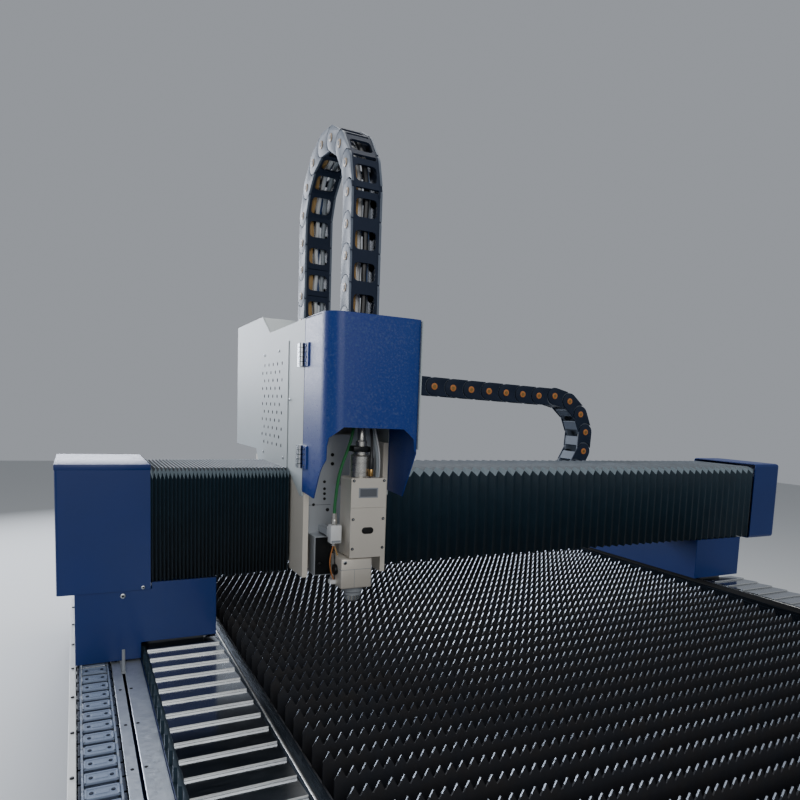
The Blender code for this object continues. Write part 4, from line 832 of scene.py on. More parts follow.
@dataclass
class BedCovers:
    """The plated covers over the rails: bright overlapping plates on black folds."""

    left: Span = (-0.963, -0.808)
    front: float = -2.1447
    saddle_front: float = -0.7653
    saddle_rear: float = -0.1547
    rear: float = 2.1447
    pitch: float = 0.0545
    overlap: float = 0.012
    top: float = 0.885
    fall: float = 0.0050
    lip: float = 0.0038
    sheet: float = 0.0011
    fold: float = 0.005
    insets: Span = (0.008, 0.001)
    narrower: float = 0.009
    crease: tuple[Pair, ...] = ((0.15, 0.0), (0.60, 1.0), (0.95, 1.0), (1.0, 0.0))

    def plate(self, width: Span) -> bpy.types.Mesh:
        """One plate: a sheet that falls to the rear, with its front edge bent down.

        Args:
            width: its span along X.

        Returns:
            The plate, with finish 1, a painted highlight, on its front edge.
        """
        length = self.pitch + self.overlap
        low = self.top - self.fall
        points = [
            (0.0, self.top - self.lip), (0.0, self.top - 0.0012), (0.0012, self.top),
            (length, low), (length, low - self.sheet),
            (0.0020, self.top - self.sheet - 0.0004), (self.sheet, self.top - 0.002),
            (self.sheet, self.top - self.lip),
        ]
        shape = Shape()
        shape.plate(points, "X", width)
        # Faces that look to the front take the brighter finish: a painted highlight on the lip
        for face in shape.bm.faces:
            face.normal_update()
            face.material_index = 1 if face.normal.y < -0.7 else 0
        return shape.mesh("cover_plate")

    def build(self) -> None:
        """Covers both rails, before and behind the saddles."""
        right = (2 * BED_MIDDLE - self.left[1], 2 * BED_MIDDLE - self.left[0])
        runs = {"front": (self.front, self.saddle_front), "rear": (self.rear, self.saddle_rear)}
        sides = zip(("left", "right"), (self.left, right), self.insets)
        for side, width, inset in sides:
            plate = self.plate((width[0] + inset, width[1] + inset - self.narrower))
            for end, (fixed, moving) in runs.items():
                low, high = span(fixed, moving)
                count = round((high - low) / self.pitch)
                pitch = (high - low) / count
                short = Matrix.Scale(pitch / (self.pitch + self.overlap), 4, (0, 1, 0))
                shape = Shape()
                for i in range(count):
                    place = Matrix.Translation((0, low + i * pitch, 0))
                    shape.stamp(plate, place @ short if i == count - 1 else place)
                made = shape.piece(
                    f"cover_plates_{side}_{end}", "", "stainless_plates",
                    (STAINLESS_SHEET, STAINLESS_EDGE_HIGHLIGHT), (f"bellows_{side}_{end}",), 25.0,
                )
                ends = (Vector((0, fixed, 0)), Vector((0, moving, 0)))
                bend_evenly(made, "bed", "gantry", *ends)
                made = self.folds(width, low, high, f"cover_folds_{side}_{end}")
                bend_evenly(made, "bed", "gantry", *ends)

    def folds(self, width: Span, low: float, high: float, name: str) -> bpy.types.Object:
        """The black folds that show beside and under the plates.

        Args:
            width: the cover's span along X.
            low, high: the ends of its run along Y.
            name: the piece's name.

        Returns:
            The folds.
        """
        count = round((high - low) / self.pitch)
        pitch = (high - low) / count
        outer = [(width[0] + 0.0005, low)]
        inner = [(width[1] - 0.0005, low)]
        for i in range(count):
            for share, deep in self.crease:
                y = low + i * pitch + share * pitch
                outer.append((width[0] + 0.0005 + deep * self.fold, y))
                inner.append((width[1] - 0.0005 - deep * self.fold, y))
        shape = Shape()
        shape.plate(outer + inner[::-1], "Z", (BED_TOP + 0.0014, 0.8760))
        shape.box(width, (low, high), (BED_TOP + 0.0003, BED_TOP + 0.0016))
        return shape.piece(name, "", "bellows_fabric", (COATED_CLOTH,), (), 20.0)


@dataclass
class BeamCovers:
    """The folded covers over the beam, on both sides of the carriage."""

    left_run: Span = (0.1763, 0.4747)
    right_run: Span = (0.6813, 2.1117)
    left_folds: int = 38
    right_folds: int = 50
    top: float = -0.008
    bottom: float = -0.253
    depth: float = 0.255
    tip: float = 0.022
    fold: float = 0.008
    cloth: float = 0.0012
    # Share of each left fold's top painted as highlight; the rest of that top gets painted shade
    pale: Span = (0.42, 0.56)
    crease: tuple[Pair, ...] = ((0.0, 1.0), (0.42, 0.14), (0.46, 0.05), (0.5, 0.0), (0.54, 0.05))

    def section(self, place: float, deep: float) -> tuple[float, list[Pair]]:
        """A cross-section of the cover.

        Args:
            place: its distance along the gantry.
            deep: 0 on a fold's ridge and 1 in its valley.

        Returns:
            Its X and its (y, z) points.
        """
        inset = self.fold * deep
        chamfer = self.tip * (1 - deep) + 0.0006
        points = [
            (inset, self.bottom + 0.004 * deep),
            (inset, self.top - inset - chamfer),
            (inset + chamfer, self.top - inset),
            (self.depth, self.top - inset),
        ]
        return gx(place), [(gy(y), gz(z)) for y, z in points]

    def cover(self, side: str, run: Span, folds: int) -> bpy.types.Object:
        """Folds one cover over its run.

        Args:
            side: left or right; the right cover's whole top gets the paler mottled finish.
            run: its span along the gantry.
            folds: how many folds it has.

        Returns:
            The cover.
        """
        pitch = (run[1] - run[0]) / folds
        sections = [
            self.section(run[0] + i * pitch + share * pitch, deep)
            for i in range(folds) for share, deep in self.crease
        ]
        sections.append(self.section(run[1], 1.0))

        def paint(middle: Vector, normal: Vector) -> int:
            """Painted highlight on the chamfer, a paler mottled top on the right cover, painted
            highlight and shade on the left top's flanks.

            Args:
                middle, normal: where the face is and where it faces.

            Returns:
                The number of the face's finish.
            """
            if abs(normal.z) < 0.25:
                return 0
            if abs(normal.y) > 0.25:
                return 1
            if side == "right":
                return 2
            phase = (middle.x - gx(run[0])) / pitch % 1.0
            return 1 if self.pale[0] < phase < self.pale[1] else 3

        shape = Shape()
        shape.pleats(sections, paint)
        made = shape.piece(
            "beam_folds_" + side, "", "bellows_fabric",
            (COATED_CLOTH, FOLD_HIGHLIGHT, WOVEN_TOP, FOLD_PAINTED_SHADE), ("bellows_beam_" + side,), 12.0,
        )
        solid = made.modifiers.new("Thickness", "SOLIDIFY")
        solid.thickness = self.cloth
        solid.offset = -1.0
        return made

    def build(self) -> None:
        """Covers the beam left and right of the carriage."""
        for side, run, folds, ends in (
            ("left", self.left_run, self.left_folds, self.left_run),
            ("right", self.right_run, self.right_folds, self.right_run[::-1]),
        ):
            made = self.cover(side, run, folds)
            bend_evenly(made, "gantry", "carriage", *(Vector((gx(x), 0, 0)) for x in ends))


class LinkStyle(Enum):
    """What joins a chain link's two side plates."""

    LIDDED = "lids with a raised rim"
    BARRED = "narrow crossbars"
    FRAMED = "frames with a rounded window"


@dataclass
class ChainLink:
    """One drag chain link, along X with its outer side up, about its own middle."""

    pitch: float
    height: float
    width: float
    plate: float
    style: LinkStyle
    pin: float

    def lug(self, radius: float, gap: float, steps: int = 8) -> list[Pair]:
        """A side plate's outline: round at the rear pin, hollow round the next link's lug.

        Args:
            radius: the round end's radius.
            gap: the clearance to the next link's round end.
            steps: the segments of each arc.

        Returns:
            The outline's points.
        """
        reach = self.pitch / 2
        hollow = radius + gap
        limit = math.asin(radius / hollow)
        points = []
        for i in range(steps + 1):
            angle = math.pi * (0.5 + i / steps)
            points.append((-reach + radius * math.cos(angle), radius * math.sin(angle)))
        for i in range(steps + 1):
            angle = -math.pi + limit * (1 - 2 * i / steps)
            points.append((reach + hollow * math.cos(angle), hollow * math.sin(angle)))
        return points

    def side(self, shape: Shape, y: float, outward: float) -> None:
        """A side plate: an outer lug round the rear pin, a recessed one round the front pin.

        Args:
            shape: the link's shape.
            y: the plate's inner face.
            outward: 1 or -1, the side that it faces.
        """
        radius = self.height / 2
        reach = self.pitch / 2
        middle = y + outward * self.plate * 0.45
        face = y + outward * self.plate
        shape.plate(self.lug(radius, 0.0022), "Y", span(middle, face), 0.0006)
        half = (reach + self.pitch * 0.1) / 2
        inner = [(u + reach - half, v) for u, v in stadium(half, radius * 0.95)]
        # The recessed lug takes finish 1; on the standing chain that dark nylon is painted shade
        # in the gap
        shape.plate(inner, "Y", span(y, middle), slot=1)
        pin = (-reach, face + outward * 0.0008, 0)
        shape.rod(pin, self.pin, 0.0026, "Y", 16, edge=0.0006, slot=2)
        pin = (-reach, face + outward * 0.0022, 0)
        shape.rod(pin, self.pin * 0.5, 0.0016, "Y", 10, slot=3)

    def lid(self, shape: Shape, z: float, up: float) -> None:
        """A lid with a raised rim and two round latches.

        Args:
            shape: the link's shape.
            z: the height of its face.
            up: 1 for the upper lid and -1 for the lower one.
        """
        half = self.pitch * 0.34
        wide = self.width / 2 - self.plate - 0.001
        deck = span(z - up * 0.004, z - up * 0.0012)
        shape.box((-half, half), (-wide, wide), deck, 0.0006, slot=1)
        top = span(z - up * 0.0015, z)
        for side in (-1, 1):
            rim = span(side * (half - 0.0035), side * half)
            shape.box(rim, (-wide, wide), top, 0.0005, slot=1)
            rim = span(side * (wide - 0.003), side * wide)
            shape.box((-half, half), rim, top, 0.0005, slot=1)
            shape.rod((0, side * wide * 0.62, z - up * 0.0008), 0.003, 0.002, "Z", 8, slot=2)
        shape.box((-half * 0.35, half * 0.35), (-wide * 0.4, wide * 0.4), top, 0.0005, slot=1)

    def frame(self, shape: Shape, z: float, up: float) -> None:
        """A frame whose rounded window shows the cables inside.

        Args:
            shape: the link's shape.
            z: the height of its face.
            up: 1 for the upper frame and -1 for the lower one.
        """
        part = bmesh.new()
        bmesh.ops.create_grid(part, x_segments=1, y_segments=1, size=1.0)
        scale = Matrix.Diagonal((self.pitch * 0.5, self.width / 2 - 0.001, 1.0, 1.0))
        bmesh.ops.transform(part, matrix=scale, verts=part.verts)
        part.faces.ensure_lookup_table()
        window = part.faces[0]
        bmesh.ops.inset_individual(part, faces=[window], thickness=self.pitch * 0.09)
        narrow = Matrix.Diagonal((0.66, 0.80, 1.0, 1.0))
        bmesh.ops.transform(part, matrix=narrow, verts=window.verts[:])
        soften(part, window.verts[:], 0.009, 3, "VERTICES", False)
        central = [f for f in part.faces if f.calc_center_median().length < 0.0001]
        inner = max(central, key=lambda face: len(face.verts))
        bmesh.ops.delete(part, geom=[inner], context="FACES_ONLY")
        thicken(part, (0, 0, -up * 0.005))
        shape.take(part, 1, Matrix.Translation((0, 0, z)))

    def mesh(self) -> bpy.types.Mesh:
        """Builds the link.

        Returns:
            Its mesh, with finishes 0 side plate, 1 frame and recessed lug, 2 pin and 3 pin centre.
        """
        shape = Shape()
        half = self.width / 2
        self.side(shape, -half + self.plate, -1.0)
        self.side(shape, half - self.plate, 1.0)
        for up in (1.0, -1.0):
            z = up * self.height / 2
            if self.style is LinkStyle.LIDDED:
                self.lid(shape, z, up)
            elif self.style is LinkStyle.FRAMED:
                self.frame(shape, z - up * 0.0015, up)
            else:
                depth = span(z - up * 0.007, z - up * 0.0015)
                reach = self.pitch * 0.24
                wide = half - self.plate * 0.6
                shape.box((-reach, reach), (-wide, wide), depth, 0.001, slot=1)
        return shape.mesh("chain_link")


@dataclass
class ChainRun:
    """A chain's centre line: a straight run, a half turn and a second straight run."""

    start: Pair
    bend: Pair
    radius: float
    second: float
    heading: float
    sense: float

    def arc(self, angle: float) -> tuple[Vector, Vector]:
        """A place on the turn.

        Args:
            angle: the angle from the turn's start, in radians.

        Returns:
            The point and the direction there.
        """
        heading = self.heading + self.sense * angle
        direction = Vector((math.cos(heading), math.sin(heading)))
        outward = Vector((direction.y, -direction.x)) * self.sense
        return Vector(self.bend) + outward * self.radius, direction

    @property
    def first(self) -> float:
        """The length of the first straight run."""
        return (self.arc(0.0)[0] - Vector(self.start)).length

    @property
    def turn(self) -> float:
        """The length of the half turn."""
        return math.pi * self.radius

    @property
    def length(self) -> float:
        """The whole length of the centre line."""
        return self.first + self.turn + self.second

    def at(self, distance: float) -> tuple[Vector, Vector]:
        """A place on the centre line.

        Args:
            distance: the distance from its start.

        Returns:
            The point and the direction there, in the run's plane.
        """
        if distance < self.first:
            start, entry = Vector(self.start), self.arc(0.0)[0]
            return start.lerp(entry, distance / self.first), (entry - start).normalized()
        along = distance - self.first
        if along <= self.turn:
            return self.arc(along / self.radius)
        point, direction = self.arc(math.pi)
        return point + direction * (along - self.turn), direction

    def share(self, distance: float) -> float:
        """The share of the moving end's travel.

        Args:
            distance: the distance from the moving end.

        Returns:
            1 at the moving end, 0.5 in the turn and 0 at the fixed end.
        """
        if distance <= self.first:
            return 1.0 - 0.5 * max(0.0, distance) / self.first
        if distance <= self.first + self.turn:
            return 0.5
        return max(0.0, 0.5 - 0.5 * (distance - self.first - self.turn) / self.second)


@dataclass
class DragChain:
    """A drag chain laid link by link along its run."""

    name: str
    node: str
    bodies: tuple[str, str]
    run: ChainRun
    link: ChainLink
    across: float
    plane: str
    finishes: tuple[Finish, ...]
    starts_fixed: bool = False

    def place(self, distance: float) -> Matrix:
        """Where a link goes.

        Args:
            distance: the distance of its middle along the run.

        Returns:
            The link's transform.
        """
        point, heading = self.run.at(distance)
        normal = Vector((-heading.y, heading.x)) * -self.run.sense
        if self.plane == "X":
            along, up = Vector((heading.x, 0, heading.y)), Vector((normal.x, 0, normal.y))
            origin = Vector((gx(point.x), self.across, gz(point.y)))
        else:
            along, up = Vector((0, heading.x, heading.y)), Vector((0, normal.x, normal.y))
            origin = Vector((self.across, point.x, point.y))
        turn = Matrix((along, up.cross(along), up)).transposed().to_4x4()
        turn.translation = origin
        return turn

    def build(self) -> None:
        """Lays the links."""
        mesh = self.link.mesh()
        count = max(2, round(self.run.length / self.link.pitch))
        step = self.run.length / count
        shape = Shape()
        for i in range(count):
            middle = (i + 0.5) * step

            def share(co: Vector, middle: float = middle) -> float:
                """The share of motion of a point of this link."""
                value = self.run.share(middle + co.x)
                return 1.0 - value if self.starts_fixed else value

            shape.stamp(mesh, self.place(middle), share)
        made = shape.piece(self.name, "", "black_plastic", self.finishes, (self.node,))
        bend_along(made, *self.bodies, shape.shares)


@dataclass
class Chains:
    """The three drag chains and the cables of the standing one."""

    stand_left: float = 0.587
    stand_width: float = 0.075
    stand_height: float = 0.057
    cable_steps: int = 40

    def bed_chain(self) -> None:
        """The chain in the bed's trough."""
        top = BED_TOP - 0.002 - 0.018
        run = ChainRun(
            start=(gy(0.100), top), bend=(gy(-0.710), top - 0.095), radius=0.095, second=1.0,
            heading=math.pi, sense=1.0,
        )
        link = ChainLink(
            pitch=0.0446, height=0.036, width=0.062, plate=0.007, style=LinkStyle.LIDDED,
            pin=0.005,
        )
        DragChain(
            "trough_chain_links", "y_chain", ("bed", "gantry"), run, link,
            BED_LEFT + 0.014 + 0.031, "Y", (MATT_NYLON, TROUGH_NYLON, MATT_NYLON, BLACK_OXIDE),
        ).build()

    def beam_chain(self) -> None:
        """The chain behind the beam, with orange pin caps."""
        run = ChainRun(
            start=(0.6813, 0.2205), bend=(1.480, 0.059), radius=0.143, second=0.480,
            heading=0.0, sense=-1.0,
        )
        link = ChainLink(
            pitch=0.0655, height=0.057, width=0.080, plate=0.009, style=LinkStyle.BARRED,
            pin=0.0105,
        )
        DragChain(
            "beam_chain_links", "x_chain", ("gantry", "carriage"), run, link,
            gy(0.375), "X", (MATT_NYLON, WORN_NYLON, ORANGE_CAP, BRASS),
        ).build()

    def standing_run(self) -> ChainRun:
        """The centre line of the standing chain, from the housing up and over.

        Returns:
            The run.
        """
        half = self.stand_height / 2
        front, rear, spring = gy(-0.050) + half, gy(0.297) + half, gz(0.610)
        return ChainRun(
            start=(rear, gz(0.3645)), bend=((front + rear) / 2, spring),
            radius=(rear - front) / 2, second=spring - gz(0.200), heading=math.pi / 2,
            sense=1.0,
        )

    def standing_chain(self) -> None:
        """The chain that stands over the carriage and the cables in it."""
        run = self.standing_run()
        link = ChainLink(
            pitch=0.0720, height=self.stand_height, width=self.stand_width, plate=0.010,
            style=LinkStyle.FRAMED, pin=0.0100,
        )
        middle = gx(self.stand_left + self.stand_width / 2)
        # Finish 1 darkens the frames and, as painted shade, the recessed lugs of the pale side
        # plates
        DragChain(
            "standing_chain_links", "z_chain", ("carriage", "head"), run,
            link, middle, "Y", (WORN_NYLON, MATT_NYLON, CREAM_CAP, WORN_NYLON),
            starts_fixed=True,
        ).build()
        for name, finish, across, radius, depth, stands_for in (
            ("hose_tan", TAN_JACKET, -0.017, 0.0085, 0.006, ("fibre_cable",)),
            ("cable_white", WHITE_JACKET, -0.001, 0.0055, 0.012, ()),
            ("cable_blue", BLUE_JACKET, 0.009, 0.0045, -0.008, ()),
            ("cable_grey", GREY_JACKET, 0.017, 0.0065, 0.010, ()),
            ("cable_black", BLACK_JACKET, 0.004, 0.0070, -0.013, ()),
        ):
            points = []
            shares = []
            for i in range(self.cable_steps + 1):
                distance = run.length * i / self.cable_steps
                point, heading = run.at(distance)
                wave = 0.0015 * math.sin(i * 1.7 + across * 300)
                point = point + Vector((-heading.y, heading.x)) * (depth + wave)
                points.append(Vector((middle + across + wave, point.x, point.y)))
                shares.append(1.0 - run.share(distance))
            shape = Shape()
            shape.tube(points, radius)
            made = shape.piece("standing_" + name, "", "tan_cable", (finish,), stands_for)
            ring = [
                shares[min(range(len(points)), key=lambda i: (points[i] - vert.co).length)]
                for vert in made.data.vertices
            ]
            bend_along(made, "carriage", "head", ring)

    def build(self) -> None:
        """Lays all chains."""
        self.bed_chain()
        self.beam_chain()
        self.standing_chain()


@dataclass
class Fasteners:
    """Screws of the trough, the slotted plate, the saddles and the housing."""

    lip_pitch: float = 0.154
    slot_pitch: float = 0.160

    def build(self) -> None:
        """Sets the screws."""
        lip = [
            (BED_LEFT + 0.0062, gy(-0.149) - self.lip_pitch * i, BED_TOP) for i in range(-18, 8)
        ]
        slot = [
            (gx(x), gy(-0.145) - self.slot_pitch * i, BED_TOP)
            for i in range(-17, 8) for x in (0.108, 0.1275)
        ]
        vent = [
            gp(0.475 - 0.0018, y, z) for y, z in (
                (0.255, 0.262), (0.113, 0.266), (0.255, 0.012), (0.060, 0.012), (0.010, 0.150),
            )
        ]
        saddle, box = [gp(0.122, 0.004, -0.2785)], [gp(0.161, 0.0, -0.2625)]
        for row in (
            ("trough_lip_screws", "bed", "white_paint", lip, TO_TOP, 0.0032, 0.0022, DARK_SCREW),
            ("slot_plate_screws", "bed", "galvanised_steel", slot, TO_TOP, 0.0028, 0.0007,
             DARK_SCREW),
            ("saddle_screws", "gantry", "navy_paint", saddle, TO_FRONT, 0.0055, 0.005),
            ("end_box_screw", "gantry", "navy_paint", box, TO_FRONT, 0.004, 0.003),
            ("vent_cover_screws", "carriage", "pale_grey_paint", vent, TO_LEFT, 0.0035, 0.002),
        ):
            set_screws(*row)


@dataclass
class Housing:
    """The carriage housing's vent cover, hinge leaves and door trim."""

    side: float = 0.475
    cover_y: Span = (0.030, 0.305)
    cover_z: Span = (-0.010, 0.285)
    sheet: float = 0.0013
    columns: int = 13
    rows: int = 15
    hole_columns: Span = (2, 11)
    hole_rows: Span = (2, 12)
    hole: float = 0.0046
    hinge_screw: Pair = (0.0026, 0.0012)
    screw_margin: float = 0.007
    screw_pitch: float = 0.012

    def perforated(self) -> BMesh:
        """The cover's sheet with its staggered field of round holes.

        Returns:
            The flat sheet, centred in the XY plane, X to the rear and Y up the housing.
        """
        part = bmesh.new()
        wide = self.cover_y[1] - self.cover_y[0]
        high = self.cover_z[1] - self.cover_z[0]
        bmesh.ops.create_grid(
            part, x_segments=self.columns, y_segments=self.rows, size=0.5,
            matrix=Matrix.Diagonal((wide, high, 1.0, 1.0)),
        )
        chosen = []
        for face in part.faces:
            middle = face.calc_center_median()
            column = int((middle.x + wide / 2) / (wide / self.columns))
            row = int((middle.y + high / 2) / (high / self.rows))
            inside = self.hole_columns[0] <= column <= self.hole_columns[1]
            inside = inside and self.hole_rows[0] <= row <= self.hole_rows[1]
            if inside and (column + row) % 2 == 0:
                chosen.append(face)
        bmesh.ops.inset_individual(part, faces=chosen, thickness=0.0004)
        flat = self.hole * math.cos(math.pi / 8)
        corners = []
        for face in chosen:
            middle = face.calc_center_median()
            for vert in face.verts:
                vert.co.x = middle.x + math.copysign(flat, vert.co.x - middle.x)
                vert.co.y = middle.y + math.copysign(flat, vert.co.y - middle.y)
                corners.append(vert)
        soften(part, corners, flat * (2 - math.sqrt(2)), 1, "VERTICES", False)
        holes = [face for face in part.faces if len(face.verts) == 8]
        bmesh.ops.delete(part, geom=holes, context="FACES_ONLY")
        thicken(part, (0, 0, self.sheet))
        # The holes' walls take finish 1: painted shade in the holes
        for face in part.faces:
            middle = face.calc_center_median()
            within = abs(middle.x) < wide / 2 - 0.001 and abs(middle.y) < high / 2 - 0.001
            face.material_index = 1 if within and abs(face.normal.z) < 0.5 else 0
        return part

    def vent_cover(self) -> None:
        """The screwed-on cover, with a dark sheet behind its holes as painted shade."""
        x, y, z = gp(self.side - 0.0005, sum(self.cover_y) / 2, sum(self.cover_z) / 2)
        turn = Matrix(((0, 0, -1, x), (1, 0, 0, y), (0, 1, 0, z), (0, 0, 0, 1)))
        shape = Shape()
        shape.take(self.perforated(), -1, turn)
        behind = [(low + 0.006, high - 0.006) for low, high in (self.cover_y, self.cover_z)]
        shape.block((self.side - 0.0006, self.side - 0.0001), *behind, slot=1)
        shape.piece("vent_cover", "carriage", "pale_grey_paint", (PALE_POWDER_COAT, DARK_HOLE))

    def hinges(self) -> None:
        """Screws and knuckle lines on both hinges, the lines black discs of painted shade."""
        for name, (low, high) in HINGE_HEIGHTS.items():
            rows = [low + self.screw_margin + i * self.screw_pitch for i in range(4)]
            fixed = Shape()
            head = screw_head(*self.hinge_screw)
            for z in rows:
                fixed.stamp(head, Matrix.Translation(gp(0.468, -0.073, z)) @ TO_LEFT)
            # Black discs at the knuckles' joints: painted shade in their gaps
            for share in (0.2, 0.4, 0.6, 0.8):
                place = gp(0.468, -0.0925, low + (high - low) * share)
                fixed.rod(place, 0.0062, 0.0012, "Z", 14, slot=1)
            fixed.piece("hinge_screws_" + name, "carriage", "machined_steel", BRIGHT_SCREW)
            places = [gp(0.4715, -0.114, z) for z in rows]
            name = "door_hinge_screws_" + name
            set_screws(
                name, "cover", "cover_blue", places, TO_LEFT, *self.hinge_screw, PANEL_SCREW
            )

    def seam(self) -> None:
        """Painted shade: a thin dark strip in the gap between the housing's side and the door."""
        shape = Shape()
        across = (self.side - 0.0003, self.side + 0.0003)
        shape.block(across, (-0.0932, -0.0920), (-0.048, 0.322))
        shape.piece("door_seam", "carriage", "pale_grey_paint", (DARK_HOLE,))

    def build(self) -> None:
        """Adds the housing's pieces."""
        self.vent_cover()
        self.hinges()
        self.seam()


@dataclass
class Door:
    """The bent sheet of the hinged front cover, with its round corners and its arch."""

    left: float = 0.475
    right: float = 0.681
    rear: float = -0.0928
    front: float = -0.243
    low_y: float = -0.175
    low_z: float = -0.055
    top: float = 0.325
    swell: float = 0.006
    swell_low: float = 0.065
    rise: float = 0.003
    sheet: float = 0.002
    arch_inset: float = 0.040
    arch_top: float = 0.101
    slope_inset: float = 0.010
    slope_low: float = 0.076
    slope: float = 0.833
    drop_inset: float = 0.0071
    drop_start: float = 0.007
    drop_low: float = 0.055
    drop: float = 7.0
    rear_rise: float = 0.06
    front_rise: float = 1.62
    leaf_x: Span = (-0.0035, 0.001)
    leaf_y: Span = (-0.128, -0.1005)

    def lower_edge(self, x: float, y: float) -> float:
        """The lower edge's height: a flat arch, its slopes, steep drops and the sides.

        Args:
            x, y: a place of the sheet's path.

        Returns:
            The height there.
        """
        inset = min(x - self.left, self.right - x)
        if inset > self.arch_inset:
            return self.arch_top
        if inset > self.slope_inset:
            return self.slope_low + (inset - self.slope_inset) * self.slope
        if inset > self.drop_inset:
            return self.drop_low + (inset - self.drop_start) * self.drop
        if y > self.low_y:
            return self.low_z + (y - self.low_y) * self.rear_rise
        return self.low_z + (self.low_y - y) * self.front_rise

    def path(self) -> list[Triple]:
        """The sheet's path from above.

        Returns:
            Its points, as x, y and the share of the front's swell.
        """
        turns = (0.0, 10.0, 20.0, 30.0, 35.8, 36.9, 43.5, 50.0, 60.0, 70.0, 80.0, 90.0)
        points = [(self.left, self.rear, 0.0), (self.left, self.low_y, 0.0)]
        for across, along, side in ((0.037, 0.037, 1), (0.036, 0.006, -1)):
            corner = self.left if side > 0 else self.right
            for turn in turns[::side]:
                angle = math.radians(turn)
                x = corner + side * across * (1 - math.cos(angle))
                y = self.front + along * (1 - math.sin(angle))
                points.append((x, y, math.sin(angle) ** 2))
        return points + [(self.right, self.low_y, 0.0), (self.right, self.rear, 0.0)]

    def build(self) -> None:
        """Bends the sheet, closes its top and adds the hinge leaves."""
        sections = []
        for x, y, share in self.path():
            low = self.lower_edge(x, y)
            high = self.top + self.rise * (self.rear - y) / (self.rear - self.front)
            bulge = share * self.swell * (high - low) / (high - self.swell_low)
            sections.append((gx(x), [(gy(y - bulge), gz(low)), (gy(y), gz(high))]))
        shape = Shape()
        shape.pleats(sections, lambda middle, normal: 0)
        middle = max(shape.bm.faces, key=lambda f: f.calc_area())
        middle.normal_update()
        if middle.normal.y > 0:
            bmesh.ops.reverse_faces(shape.bm, faces=shape.bm.faces)
        bmesh.ops.solidify(shape.bm, geom=shape.bm.faces[:], thickness=self.sheet)
        lid = [(gx(x), gy(y)) for x, y, _ in self.path()]
        shape.plate(lid, "Z", (gz(self.top - self.sheet), gz(self.top - 0.0002)))
        leaf = (self.left + self.leaf_x[0], self.left + self.leaf_x[1])
        for height in HINGE_HEIGHTS.values():
            shape.block(leaf, self.leaf_y, height, 0.0008)
        finishes = (TEXTURED_POWDER_COAT,)
        shape.piece("door_sheet", "cover", "cover_blue", finishes, ("front_cover",))


